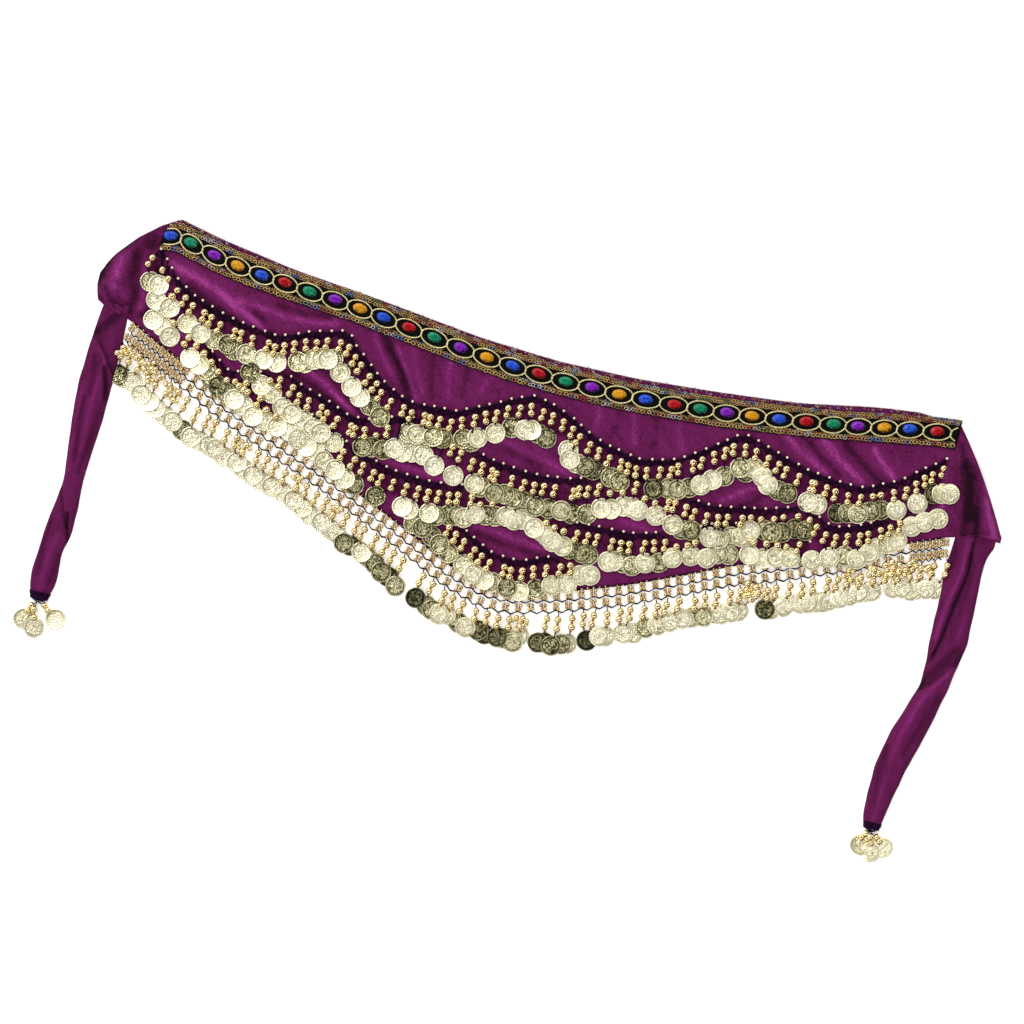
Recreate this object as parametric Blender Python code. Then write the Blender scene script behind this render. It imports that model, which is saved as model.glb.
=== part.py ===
"""Belly dance hip scarf, laid flat: a velvet body with turned ends and ties, coin rows and a jewelled ribbon.

Tables and sizes are in millimetres, in the scarf's own frame: X runs along the waist, Y runs up to the
waist edge, and Z is up from the table. The finished objects are in metres, under one empty that puts the
origin at the bottom centre of the scarf.
"""

import math
from collections import namedtuple

import bmesh
import bpy
import numpy as np

MM = 0.001

# Cloth and gaps
WALL = 1.6  # velvet with its turned edge
SEAM_GAP = 0.3  # between pieces that meet edge to edge
LAY_GAP = 0.6  # from the cloth to what is sewn on it, which bends over the same folds
FLOOR_GAP = 0.35  # from the table to the net and its dangles
PANEL_ROWS = 6
PANEL_STEP = 19.0

# Jewelled ribbon
RIBBON_WIDTH = 30.0
# the line of the gems, along the middle of the ribbon
GEM_LINE = [
    (-396, 67.0), (-388, 70.0), (-380, 70.5), (-367, 67.5), (-341, 61.5), (-316, 57), (-290, 54), (-240, 50), (-187, 46),
    (-135, 39.5), (-80, 32.5), (-25, 27.8), (30, 26), (85, 27), (141, 30.5), (194, 35.5), (246, 42.5),
    (300, 50.5), (350, 60), (402, 69.5), (424, 72),
]
RIBBON_THICK = 0.9
RIBBON_LEFT, RIBBON_RIGHT = -396.0, 424.0
GEM_COUNT = 31
GEM_FIRST = -388.0
GEM_PITCH = 26.33
GEM_LONG, GEM_SHORT, GEM_RISE = 14.4, 10.0, 3.2
GEM_TABLE = 0.62  # the flat top's share of the gem's size

# Coins and beads
COIN_RADIUS = 10.35
COIN_THICK = 0.9
COIN_TILT = 1.5  # how much higher a coin's edge lies where it covers its neighbour
BEAD = 6.8
DANGLE_PITCH = 12.4
NEAREST_COINS, FARTHEST_COINS = 8.6, 16.5
LEAN = 0.65  # share of the row's slope that its dangles lean by
LEAN_REACH = 28.0
ON_CLOTH, ON_COINS = 0.0, 2.9  # the levels that coin rows lie at, above the cloth

# Net along the hem
NET_UPPER, NET_LOWER = 10.5, 11.5  # from hem to middle thread, and from there to the last thread
NET_RAIL = 2.0
NET_SEAM = 0.8  # wider than SEAM_GAP, because net and hem are cut into steps of different lengths
NET_PITCH = 12.4
NET_GAP = 6.6
NET_THICK = 1.3
NET_LEFT, NET_RIGHT = -405.0, 440.0
NET_LEAN = 0.6

Fold = namedtuple("Fold", "x0 y0 x1 y1 half_width height")
Dangle = namedtuple("Dangle", "root bead coin")
TieSection = namedtuple("TieSection", "y left right crown ridge")
Pendant = namedtuple("Pendant", "x y level")
Finish = namedtuple("Finish", "colour roughness metallic")

VELVET = Finish((0.155, 0.010, 0.115), 0.75, 0.0)
RIBBON = Finish((0.030, 0.022, 0.030), 0.55, 0.1)
GOLD = Finish((0.80, 0.73, 0.42), 0.32, 0.9)
NET = Finish((0.45, 0.30, 0.12), 0.45, 0.5)

# Upper edge of the velvet, from the left fold to the right fold: x, y
UPPER_EDGE = [
    (-448, 16), (-444, 28), (-437, 40), (-420, 60), (-400, 78), (-382, 89), (-340, 80), (-260, 68),
    (-180, 61), (-60, 48), (20, 44.5), (100, 47), (180, 54), (260, 63), (340, 79), (380, 84),
    (424, 82), (432, 72.5), (440, 62), (450, 47.5), (461, 32), (470, 18), (480, 1.5), (491, -18),
]  # fmt: skip

# Middle thread of the net, which the hem and the last thread run beside: x, y
NET_THREAD = [
    (-409, -31), (-360, -53), (-300, -82), (-240, -105), (-180, -127), (-100, -161), (-40, -189),
    (0, -201), (30, -201), (80, -187), (140, -165), (200, -138), (240, -119), (280, -105),
    (360, -72), (445, -38),
]  # fmt: skip

# Lower edges of the turned ends, outside the hem: x, y
LEFT_LOWER = [(-448, 6), (-444, -9), (-437, -13), (-420, -18), (-409, -21)]
RIGHT_LOWER = [(445, -28), (452, -26.5), (470, -22.5), (491, -23)]

FOLDS = [
    Fold(-413, 60, -434, 4, 17, 8.0),  # left end, where the cloth turns under
    Fold(446, 50, 471, -12, 17, 9.0),  # right end
    Fold(-330, 0, -262, -34, 42, 1.6),  # swells across the body
    Fold(-215, -40, -150, -92, 44, 2.0),
    Fold(-100, -20, -62, -80, 40, 1.8),
    Fold(-36, -60, -66, -120, 40, 1.6),
    Fold(118, -50, 132, -104, 42, 2.0),
    Fold(215, -20, 178, -76, 42, 1.8),
    Fold(345, 4, 300, -44, 40, 1.8),
]

# Threads that the coin rows hang from, from swag to swag: x, y
ROW_A = [
    (-396, 56), (-371, 31), (-336, 14), (-281, 2), (-238, 8), (-198, 21), (-172, 3), (-142, -20),
    (-108, -31), (-72, -30), (-28, -9), (5, 6), (50, -8), (85, -24), (122, -30), (159, -20),
    (197, 10), (222, 20), (262, 8), (300, -1), (350, -1), (397, 30), (418, 46),
]  # fmt: skip
ROW_B = [
    (-388, 12), (-345, -15), (-310, -38), (-298, -46), (-270, -40), (-248, -31), (-226, -41),
    (-170, -60), (-140, -55), (-110, -45), (-70, -50), (-19, -67), (10, -70), (58, -66), (90, -56),
    (122, -45), (150, -52), (190, -57), (221, -54), (260, -45), (292, -36), (325, -50), (370, -30),
    (400, -10), (414, 0),
]  # fmt: skip
ROW_C = [
    (-283, -50), (-245, -60), (-205, -68), (-150, -93), (-118, -101), (-78, -103), (-42, -98),
    (5, -90), (35, -103), (70, -110), (105, -105), (145, -100), (190, -83), (225, -70), (265, -62),
    (296, -66),
]  # fmt: skip
ROW_D = [(-80, -126), (-52, -132), (-24, -145), (-2, -156), (31, -158), (54, -148), (75, -140), (96, -131)]

# Stretches of hem coins, with a break in the overlap between them: first x, last x
HEM_STRETCHES = [(-388, -82), (-60, 38), (64, 245), (271, 369), (393, 424)]

CLOTH_DANGLE = Dangle(0.0, 14.0, 32.0)
HEM_DANGLE = Dangle(0.6, 9.5, 28.0)

# Ties, from where they leave the turned end down to the gathered end
LEFT_TIE = [
    TieSection(-20, -436, -410, 4.2, 0.45),
    TieSection(-50, -440, -408.5, 5.0, 0.35),
    TieSection(-90, -442, -408.5, 6.0, 0.40),
    TieSection(-125, -440, -409, 6.5, 0.50),
    TieSection(-160, -436, -411.5, 6.0, 0.62),
    TieSection(-192, -432, -413, 7.0, 0.70),
    TieSection(-218, -435, -411, 6.5, 0.72),
    TieSection(-245, -438.5, -411, 6.0, 0.60),
    TieSection(-264, -439, -416, 5.5, 0.50),
    TieSection(-290, -441, -413.5, 6.0, 0.45),
    TieSection(-305, -438.8, -416, 6.5, 0.50),
    TieSection(-314, -434.5, -419.5, 6.0, 0.50),
]
RIGHT_TIE = [
    TieSection(-27.5, 446, 491.5, 4.4, 0.80),
    TieSection(-40, 445, 481, 5.0, 0.70),
    TieSection(-62, 443.5, 481, 6.0, 0.45),
    TieSection(-100, 446, 483, 6.5, 0.40),
    TieSection(-132, 446, 484, 6.0, 0.45),
    TieSection(-155, 448.5, 480, 6.5, 0.55),
    TieSection(-180, 448, 476, 7.0, 0.68),
    TieSection(-205, 440, 471, 7.0, 0.60),
    TieSection(-232, 431, 465, 6.5, 0.50),
    TieSection(-268, 424, 455, 6.0, 0.45),
    TieSection(-300, 424, 449, 5.5, 0.40),
    TieSection(-322, 425, 445.5, 6.0, 0.50),
    TieSection(-331, 430, 443, 6.0, 0.50),
]
TIE_SIDES = 10
TIE_SEAM = 0.5  # from the turned end's lower edge to the tie that comes out under it

# Coins that hang from a tie's gathered end: x, y of the coin, and its level
LEFT_PENDANTS = [Pendant(-435, -336, 0), Pendant(-423, -342, 1), Pendant(-405, -330, 0)]
RIGHT_PENDANTS = [Pendant(429, -349, 0), Pendant(440, -354, 1), Pendant(453, -346, 0)]
PENDANT_LIFT = 1.7
HEAD_LONG, HEAD_RISE = 9.0, 6.0
ROOT_SPREAD = 0.1


def along(table, x, blur=0.0):
    """The second column of a table at x, with its corners rounded over blur to each side."""
    xs, ys = zip(*table)
    return float(np.mean(np.interp(x + blur * np.linspace(-1.0, 1.0, 9), xs, ys)))


def slope(table, x, reach):
    return (along(table, x + reach) - along(table, x - reach)) / (2 * reach)


def hem(x):
    return along(NET_THREAD, x, 8) + NET_UPPER


def upper_edge(x):
    return along(UPPER_EDGE, x, 14) if -370 < x < 372 else along(UPPER_EDGE, x)


def lower_edge(x):
    if x <= LEFT_LOWER[-1][0]:
        return along(LEFT_LOWER, x)
    return along(RIGHT_LOWER, x) if x >= RIGHT_LOWER[0][0] else hem(x)


def fold_height(x, y):
    """How far the folds lift the cloth off the table at a place."""
    lift = 0.0
    for fold in FOLDS:
        run = np.array([fold.x1 - fold.x0, fold.y1 - fold.y0])
        start = np.array([x - fold.x0, y - fold.y0])
        share = min(max(start @ run / (run @ run), 0.0), 1.0)
        away = min(np.linalg.norm(start - share * run) / fold.half_width, 1.0)
        lift += fold.height * math.cos(away * math.pi / 2) ** 2
    return lift


def on_cloth(x, y):
    """The level that pieces on the velvet lie at."""
    return fold_height(x, y) + WALL + LAY_GAP


def on_table(x, y):
    return FLOOR_GAP


class Solid:
    """Points and faces of one closed body, gathered piece by piece."""

    def __init__(self):
        self.points = []
        self.faces = []

    def point(self, x, y, z):
        self.points.append((x * MM, y * MM, z * MM))
        return len(self.points) - 1

    def fan(self, hub, ring):
        """Triangles from one point to each edge of an open ring."""
        for one, two in zip(ring, ring[1:]):
            self.faces.append((hub, one, two))

    def wall(self, one, two):
        """A wall between two upright edges, each a list of points from the bottom up."""
        if len(one) <= len(two):
            self.fan(one[0], two + one[:0:-1])
        else:
            self.fan(two[0], one + two[:0:-1])

    def loft(self, rings):
        """Quads from ring to ring, with a face over each end."""
        for one, two in zip(rings, rings[1:]):
            for k in range(len(one)):
                after = (k + 1) % len(one)
                self.faces.append((one[k], one[after], two[after], two[k]))
        self.faces.append(tuple(rings[0]))
        self.faces.append(tuple(rings[-1]))

    def to_object(self, name, finish, parent):
        mesh = bpy.data.meshes.new(name)
        mesh.from_pydata(self.points, [], self.faces)
        work = bmesh.new()
        work.from_mesh(mesh)
        bmesh.ops.triangulate(work, faces=work.faces)
        bmesh.ops.recalc_face_normals(work, faces=work.faces)
        work.to_mesh(mesh)
        work.free()
        obj = bpy.data.objects.new(name, mesh)
        obj.parent = parent
        mesh.materials.append(material(name, finish))
        bpy.context.scene.collection.objects.link(obj)
        return obj


def material(name, finish):
    made = bpy.data.materials.new(name)
    made.use_nodes = True
    shader = made.node_tree.nodes["Principled BSDF"]
    shader.inputs["Base Color"].default_value = (*finish.colour, 1.0)
    shader.inputs["Roughness"].default_value = finish.roughness
    shader.inputs["Metallic"].default_value = finish.metallic
    return made


def panel_columns():
    """Columns of the panel's grid: close together round the turned ends, even between them."""
    left = [-448, -444, -437, -428, -418, -409, -400, -391, -382]
    right = [424, 434, 440, 446, 454, 462, 471, 480, 491]
    count = round((right[0] - left[-1]) / PANEL_STEP)
    return left[:-1] + list(np.linspace(left[-1], right[0], count + 1)) + right[1:]


def hem_as_built(x):
    """The hem's height along the straight steps of the panel's lower edge."""
    columns = panel_columns()
    return float(np.interp(x, columns, [lower_edge(column) for column in columns]))


def body_panel(parent):
    """The velvet body, a wall that follows its folds, and at each end the layers of the turned cloth."""
    solid = Solid()
    top, under = [], []
    for x in panel_columns():
        turned = x < RIBBON_LEFT or x > RIBBON_RIGHT
        low, high = lower_edge(x), upper_edge(x)
        top.append([])
        under.append([])
        for y in np.linspace(low, high, PANEL_ROWS + 1):
            lift = fold_height(x, y)
            top[-1].append(solid.point(x, y, lift + WALL))
            under[-1].append(solid.point(x, y, 0.0 if turned else lift))
    for i in range(len(top) - 1):
        for j in range(PANEL_ROWS):
            for side in (top, under):
                solid.faces.append((side[i][j], side[i + 1][j], side[i + 1][j + 1], side[i][j + 1]))
        for j in (0, PANEL_ROWS):
            solid.faces.append((under[i][j], under[i + 1][j], top[i + 1][j], top[i][j]))
    for i in (0, len(top) - 1):
        for j in range(PANEL_ROWS):
            solid.faces.append((under[i][j], under[i][j + 1], top[i][j + 1], top[i][j]))
    return solid.to_object("body_panel", VELVET, parent)


def gem_ribbon(parent):
    """The black ribbon under the waist edge, with its oval gems raised from it."""
    solid = Solid()
    centres = [GEM_FIRST + i * GEM_PITCH for i in range(GEM_COUNT)]
    cuts = [RIBBON_LEFT] + [x + GEM_PITCH / 2 for x in centres[:-1]] + [RIBBON_RIGHT]
    edges = []
    for x in cuts:
        middle = along(GEM_LINE, x, 6)
        corners = []
        for y in (middle - RIBBON_WIDTH / 2, middle + RIBBON_WIDTH / 2):
            base = on_cloth(x, y)
            corners.append((solid.point(x, y, base), solid.point(x, y, base + RIBBON_THICK)))
        edges.append(corners)
    for i, x in enumerate(centres):
        (low_l, low_l_top), (high_l, high_l_top) = edges[i]
        (low_r, low_r_top), (high_r, high_r_top) = edges[i + 1]
        y = along(GEM_LINE, x, 6)
        turn = math.atan(slope(GEM_LINE, x, GEM_PITCH / 2))
        base = on_cloth(x, y) + RIBBON_THICK
        foot, table = [], []
        for k in range(6):
            angle = k * math.pi / 3
            a, b = GEM_LONG / 2 * math.cos(angle), GEM_SHORT / math.sqrt(3) * math.sin(angle)
            for ring, share, lift in ((foot, 1.0, 0.0), (table, GEM_TABLE, GEM_RISE)):
                px = x + share * (a * math.cos(turn) - b * math.sin(turn))
                py = y + share * (a * math.sin(turn) + b * math.cos(turn))
                ring.append(solid.point(px, py, base + lift))
        solid.faces.append((high_r_top, high_l_top, foot[2], foot[1]))
        solid.faces.append((low_l_top, low_r_top, foot[5], foot[4]))
        solid.fan(foot[3], [foot[2], high_l_top, low_l_top, foot[4]])
        solid.fan(foot[0], [foot[5], low_r_top, high_r_top, foot[1]])
        for k in range(6):
            after = (k + 1) % 6
            solid.faces.append((foot[k], foot[after], table[after], table[k]))
        solid.faces.append(tuple(table))
        solid.faces.append((low_l, low_r, high_r, high_l))
        solid.faces.append((low_l, low_r, low_r_top, low_l_top))
        solid.faces.append((high_l, high_r, high_r_top, high_l_top))
    for corners in (edges[0], edges[-1]):
        (low, low_top), (high, high_top) = corners
        solid.faces.append((low, high, high_top, low_top))
    return solid.to_object("gem_ribbon", RIBBON, parent)


def dangles(thread, first, last, dangle):
    """Seed, bead and coin places of a row, one set for each dangle, about even along its thread."""
    found = []
    for x in np.arange(first, last + 0.5, 0.5):
        seed = np.array([x, along(thread, x, 6)])
        lean = LEAN * slope(thread, x, LEAN_REACH)
        down = np.array([lean, -1.0]) / math.hypot(lean, 1.0)
        places = [seed + dangle.root * down, seed + dangle.bead * down, seed + dangle.coin * down]
        if found:
            thread_step = np.linalg.norm(places[0] - found[-1][0])
            coin_step = np.linalg.norm(places[2] - found[-1][2])
            even = thread_step >= DANGLE_PITCH and coin_step >= NEAREST_COINS
            if not even and coin_step < FARTHEST_COINS:
                continue
        found.append(places)
    return found


def round_arc(centre, start, end, steps):
    """Points on a coin's edge between two angles, without the two ends."""
    return [
        centre + COIN_RADIUS * np.array([math.cos(a), math.sin(a)])
        for a in np.linspace(start, end, steps + 1)[1:-1]
    ]


def angle_of(centre, place):
    return math.atan2(place[1] - centre[1], place[0] - centre[0])


def coin_row(name, row, lay, level, covered, parent):
    """Overlapping coins, each over the one before it, and from each coin its pair of beads up to the thread."""
    solid = Solid()
    count = len(row)
    coins = [places[2] for places in row]
    steps = [(b - a) / np.linalg.norm(b - a) for a, b in zip(coins, coins[1:])]
    facing = [steps[max(i - 1, 0)] for i in range(count)]

    def bottom(place):
        return solid.point(place[0], place[1], lay(*place) + level)

    def face(i, place):
        rise = COIN_TILT * (0.5 - (place - coins[i]) @ facing[i] / (2 * COIN_RADIUS))
        return solid.point(place[0], place[1], lay(*place) + level + COIN_THICK + rise)

    crossings, mids = [], []
    for i in range(count - 1):
        middle = (coins[i] + coins[i + 1]) / 2
        half = math.sqrt(COIN_RADIUS**2 - (np.linalg.norm(coins[i + 1] - coins[i]) / 2) ** 2)
        up = np.array([-steps[i][1], steps[i][0]])
        ends = {}
        for side, place in (("high", middle + half * up), ("low", middle - half * up)):
            ends[side] = (place, [bottom(place), face(i, place), face(i + 1, place)])
        crossings.append(ends)
        mid = coins[i + 1] - COIN_RADIUS * steps[i]
        mids.append((face(i, mid), face(i + 1, mid)))
        high, low = ends["high"][1], ends["low"][1]
        solid.faces.append((high[1], mids[i][0], mids[i][1], high[2]))
        solid.faces.append((low[1], mids[i][0], mids[i][1], low[2]))

    for i, centre in enumerate(coins):
        chord = 2 * math.asin(DANGLE_PITCH / 2 / COIN_RADIUS)
        if i:
            left_high, left_low = crossings[i - 1]["high"], crossings[i - 1]["low"]
        if i < count - 1:
            right_high, right_low = crossings[i]["high"], crossings[i]["low"]
        if not i:
            start = angle_of(centre, right_high[0]) + chord
            place = centre + COIN_RADIUS * np.array([math.cos(start), math.sin(start)])
            left_high = (place, [bottom(place), face(i, place)])
        if i == count - 1:
            start = angle_of(centre, left_high[0]) - chord
            place = centre + COIN_RADIUS * np.array([math.cos(start), math.sin(start)])
            right_high = (place, [bottom(place), face(i, place)])

        # The coin's free edge, from its left side under it to its right side
        begin = angle_of(centre, left_low[0] if i else left_high[0])
        end = angle_of(centre, right_low[0] if i < count - 1 else right_high[0])
        while end < begin:
            end += 2 * math.pi
        mids_on_edge = round_arc(centre, begin, end, 2 if 0 < i < count - 1 else 5)
        edge = [left_low[1] if i else left_high[1]]
        edge += [[bottom(place), face(i, place)] for place in mids_on_edge]
        edge.append(right_low[1][:2] if i < count - 1 else right_high[1])
        for one, two in zip(edge, edge[1:]):
            solid.wall(one, two)

        left_top, right_top = left_high[1][-1], right_high[1][1]
        ring = [left_top] + ([mids[i - 1][1]] if i else []) + [column[-1] for column in edge[1:]]
        if i:
            ring.insert(2, edge[0][-1])
        if i < count - 1:
            solid.fan(mids[i][0], [right_top] + ring)
        else:
            solid.fan(ring[0], ring[1:])
        floor = [column[0] for column in (edge if i else edge[1:])]
        if i == count - 1:
            floor.pop()
        solid.fan(right_high[1][0], [left_high[1][0]] + floor)

        root_left, root_right = left_high[1], right_high[1][:2]
        if covered[i]:
            solid.wall(root_right, root_left)
            continue
        seed, bead, _ = row[i]
        across = np.array([-(centre - seed)[1], (centre - seed)[0]]) / np.linalg.norm(centre - seed)
        feet = [bead - across * BEAD / 2, bead + across * BEAD / 2]
        foot_left, foot_right = (solid.point(*place, lay(*place)) for place in feet)
        crown = solid.point(*bead, lay(*bead) + BEAD)
        tip = solid.point(*seed, lay(*seed) + COIN_THICK)
        solid.faces.append((root_right[0], root_left[0], foot_left, foot_right))
        solid.fan(foot_left, root_left + [crown])
        solid.fan(foot_right, root_right + [crown])
        solid.faces.append((root_right[1], root_left[-1], crown))
        solid.faces.append((foot_left, foot_right, tip))
        solid.faces.append((foot_left, crown, tip))
        solid.faces.append((foot_right, crown, tip))
    return solid.to_object(name, GOLD, parent)


def covered_by(row, coins):
    """For each dangle of a row, whether coins of another row lie over its beads."""
    reach = COIN_RADIUS + BEAD / 2 + LAY_GAP
    found = []
    for seed, bead, coin in row:
        spots = [seed, bead, (bead + coin) / 2]
        found.append(any(np.linalg.norm(spot - other) < reach for spot in spots for other in coins))
    return found


def coin_rows(parent):
    """The four swagged rows on the cloth and the dangles along the hem."""
    plans = [
        ("coin_row_a", ROW_A, ON_COINS),
        ("coin_row_b", ROW_B, ON_CLOTH),
        ("coin_row_c", ROW_C, ON_COINS),
        ("coin_row_d", ROW_D, ON_CLOTH),
    ]
    above = []
    for name, thread, level in plans:
        row = dangles(thread, thread[0][0], thread[-1][0], CLOTH_DANGLE)
        coin_row(name, row, on_cloth, level, covered_by(row, above), parent)
        above += [places[2] for places in row]
    last_thread = [(x, y - NET_LOWER) for x, y in NET_THREAD]
    for k, (first, last) in enumerate(HEM_STRETCHES):
        row = dangles(last_thread, first, last, HEM_DANGLE)
        coin_row(f"hem_coins_{k + 1}", row, on_table, 0.0, covered_by(row, above), parent)


def hem_net(parent):
    """The beaded net along the hem: two rows of gaps between three threads."""
    solid = Solid()
    levels = [
        NET_UPPER - NET_SEAM, NET_UPPER - NET_RAIL, NET_RAIL / 2, -NET_RAIL / 2,
        NET_RAIL - NET_LOWER, -NET_LOWER,
    ]  # fmt: skip
    columns = []
    x = NET_LEFT
    while x < NET_RIGHT:
        run = 1 / math.hypot(1.0, slope(NET_THREAD, x, NET_PITCH))
        columns.append((x, x + NET_GAP * run))
        x += NET_PITCH * run

    def upright(x):
        lean = NET_LEAN * slope(NET_THREAD, x, LEAN_REACH)
        made = []
        for rise in levels:
            px = x - lean * rise
            py = hem_as_built(px) - NET_UPPER + rise
            made.append((solid.point(px, py, FLOOR_GAP), solid.point(px, py, FLOOR_GAP + NET_THICK)))
        return made

    lines = [(upright(a), upright(b)) for a, b in columns[:-1]]
    end = upright(columns[-1][0])
    for k, (left, right) in enumerate(lines):
        after = lines[k + 1][0] if k + 1 < len(lines) else end
        for side in (0, 1):
            a, b, c = ([pair[side] for pair in line] for line in (left, right, after))
            solid.fan(a[0], [a[1], b[1], c[1], c[0]])
            solid.fan(a[5], [a[4], b[4], c[4], c[5]])
            solid.faces.append((a[2], b[2], b[3], a[3]))
            solid.faces.append((b[1], c[1], c[2], b[2]))
            solid.faces.append((b[2], c[2], c[3], b[3]))
            solid.faces.append((b[3], c[3], c[4], b[4]))
        for one, two in ((1, 2), (3, 4)):
            corners = [left[one], right[one], right[two], left[two]]
            for p, q in zip(corners, corners[1:] + corners[:1]):
                solid.faces.append((p[0], q[0], q[1], p[1]))
        for edge in (0, 5):
            p, q = left[edge], after[edge]
            solid.faces.append((p[0], q[0], q[1], p[1]))
    for line in (lines[0][0], end):
        for p, q in zip(line, line[1:]):
            solid.faces.append((p[0], q[0], q[1], p[1]))
    used = sorted({index for one in solid.faces for index in one})
    place = {index: k for k, index in enumerate(used)}
    solid.points = [solid.points[index] for index in used]
    solid.faces = [tuple(place[index] for index in one) for one in solid.faces]
    return solid.to_object("hem_net", NET, parent)


def tie(name, sections, parent):
    """A tie of gathered velvet, flat under, with a fold that wanders across its top."""
    solid = Solid()
    rings = []
    for number, section in enumerate(sections):
        width = section.right - section.left
        middle = section.left + width / 2
        ring = []
        for k in range(TIE_SIDES):
            angle = 2 * math.pi * k / TIE_SIDES
            x = middle + width / 2 * math.cos(angle)
            share = (x - section.left) / width
            upper = math.exp(-(((share - section.ridge) / 0.28) ** 2))
            rise = section.crown * (0.55 + 0.45 * upper) * max(math.sin(angle), 0.0) ** 0.6
            edge = WALL if math.sin(angle) > -1e-6 else 0.0
            y = section.y if number else hem_as_built(x) - TIE_SEAM
            ring.append(solid.point(x, y, max(edge, rise)))
        rings.append(ring)
    solid.loft(rings)
    return solid.to_object(name, VELVET, parent)


def pendant_strand(root, coin, level):
    """One bead and coin on a four-sided strand from the gathered end."""
    solid = Solid()
    down = np.array(coin) - np.array(root)
    length = np.linalg.norm(down)
    down = down / length
    across = np.array([-down[1], down[0]])
    base = FLOOR_GAP + level * PENDANT_LIFT
    stations = [
        (0.0, 2.0, 2.2), (0.30 * length, BEAD, BEAD * 0.8), (length - COIN_RADIUS, 8.0, COIN_THICK),
        (length - 4.2, 2 * COIN_RADIUS, COIN_THICK), (length + 4.2, 2 * COIN_RADIUS, COIN_THICK),
        (length + COIN_RADIUS, 8.0, COIN_THICK),
    ]  # fmt: skip
    rings = []
    for far, wide, thick in stations:
        centre = np.array(root) + down * far
        sides = [centre + across * wide / 2, centre - across * wide / 2]
        ring = [solid.point(*sides[0], base), solid.point(*sides[1], base)]
        ring += [solid.point(*sides[1], base + thick), solid.point(*sides[0], base + thick)]
        rings.append(ring)
    solid.loft(rings)
    return solid


def tie_pendants(name, end, pendants, parent):
    """The coins on a tie's end, hung from the bound knot that gathers it."""
    knot = Solid()
    middle = (end.left + end.right) / 2
    top = end.y - SEAM_GAP
    rings = []
    for far, wide, high in ((0.0, 0.96, 0.95), (0.5, 0.85, 1.0), (1.0, 0.6, 0.7)):
        ring = []
        for k in range(8):
            angle = 2 * math.pi * k / 8
            x = middle + wide * (end.right - end.left) / 2 * math.cos(angle)
            z = HEAD_RISE * high * (0.5 + 0.5 * math.sin(angle))
            ring.append(knot.point(x, top - far * HEAD_LONG, max(z, FLOOR_GAP / 2)))
        rings.append(ring)
    knot.loft(rings)
    head = knot.to_object(name, GOLD, parent)
    for k, pendant in enumerate(pendants):
        root = (middle + (pendant.x - middle) * ROOT_SPREAD, top - HEAD_LONG / 2)
        strand = pendant_strand(root, (pendant.x, pendant.y), pendant.level)
        cutter = strand.to_object(f"{name}_strand_{k}", GOLD, parent)
        cutter.hide_render = True
        cutter.display_type = "WIRE"
        join = head.modifiers.new(f"strand_{k}", "BOOLEAN")
        join.operation = "UNION"
        join.object = cutter
    return head


def build_scarf():
    for obj in list(bpy.data.objects):
        bpy.data.objects.remove(obj)
    scarf = bpy.data.objects.new("hip_scarf", None)
    bpy.context.scene.collection.objects.link(scarf)
    body_panel(scarf)
    gem_ribbon(scarf)
    coin_rows(scarf)
    hem_net(scarf)
    tie("left_tie", LEFT_TIE, scarf)
    tie("right_tie", RIGHT_TIE, scarf)
    tie_pendants("left_pendants", LEFT_TIE[-1], LEFT_PENDANTS, scarf)
    tie_pendants("right_pendants", RIGHT_TIE[-1], RIGHT_PENDANTS, scarf)
    places = [vertex.co for obj in scarf.children for vertex in obj.data.vertices]
    lows, highs = ([pick(place[axis] for place in places) for axis in range(2)] for pick in (min, max))
    scarf.location = (-(lows[0] + highs[0]) / 2, -(lows[1] + highs[1]) / 2, 0.0)


build_scarf()
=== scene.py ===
# %% [markdown]
# This notebook dresses a belly dance hip scarf that lies flat on a table. The plain CAD model is already there as a
# frame of sixteen nodes. Each step below makes one of the scarf's own pieces, the way it would be sewn or threaded,
# and puts it over the node that it stands for.

# %% Load the frame
import math
import random
from collections import namedtuple

import bmesh
import bpy
import numpy as np
from mathutils import Matrix, Vector, noise


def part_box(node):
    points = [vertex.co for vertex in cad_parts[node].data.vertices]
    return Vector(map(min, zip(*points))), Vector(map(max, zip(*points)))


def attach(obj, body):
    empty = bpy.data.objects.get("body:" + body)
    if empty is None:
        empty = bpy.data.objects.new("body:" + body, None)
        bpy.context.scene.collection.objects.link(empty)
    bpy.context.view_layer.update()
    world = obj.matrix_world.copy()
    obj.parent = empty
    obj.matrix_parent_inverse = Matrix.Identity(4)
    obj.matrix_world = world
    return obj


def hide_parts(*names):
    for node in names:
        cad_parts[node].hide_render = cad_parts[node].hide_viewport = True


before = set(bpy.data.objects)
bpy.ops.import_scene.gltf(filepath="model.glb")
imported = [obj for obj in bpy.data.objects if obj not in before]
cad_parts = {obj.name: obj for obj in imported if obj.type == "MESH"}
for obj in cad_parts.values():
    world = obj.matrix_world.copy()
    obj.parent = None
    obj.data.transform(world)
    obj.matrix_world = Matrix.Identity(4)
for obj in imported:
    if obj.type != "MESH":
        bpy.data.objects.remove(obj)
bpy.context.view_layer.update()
print("CAD nodes:", ", ".join(sorted(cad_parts)))

# %% [markdown]
# A maker lays the scarf out along its waist edge, so every table here is in millimetres in that layout: X runs along
# the waist, Y up to the waist edge and Z up from the table. The panel's own corners say where that layout lies in
# the frame. One function turns a place in the layout into a place in the scene.

# %% Layout
MM = 0.001
PANEL_LEFT, PANEL_TOP = -448.0, 89.0
panel_low, panel_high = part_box("body_panel")
LAYOUT = Vector((panel_low.x - PANEL_LEFT * MM, panel_high.y - PANEL_TOP * MM, 0.0))


def spot(x, y, z):
    return LAYOUT + Vector((x, y, z)) * MM


print("layout origin in the frame:", tuple(round(value, 4) for value in LAYOUT))

# %% [markdown]
# The photograph looks straight down, with the scarf turned a little clockwise. A long lens far above the table gives
# the same view with next to no perspective.

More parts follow.
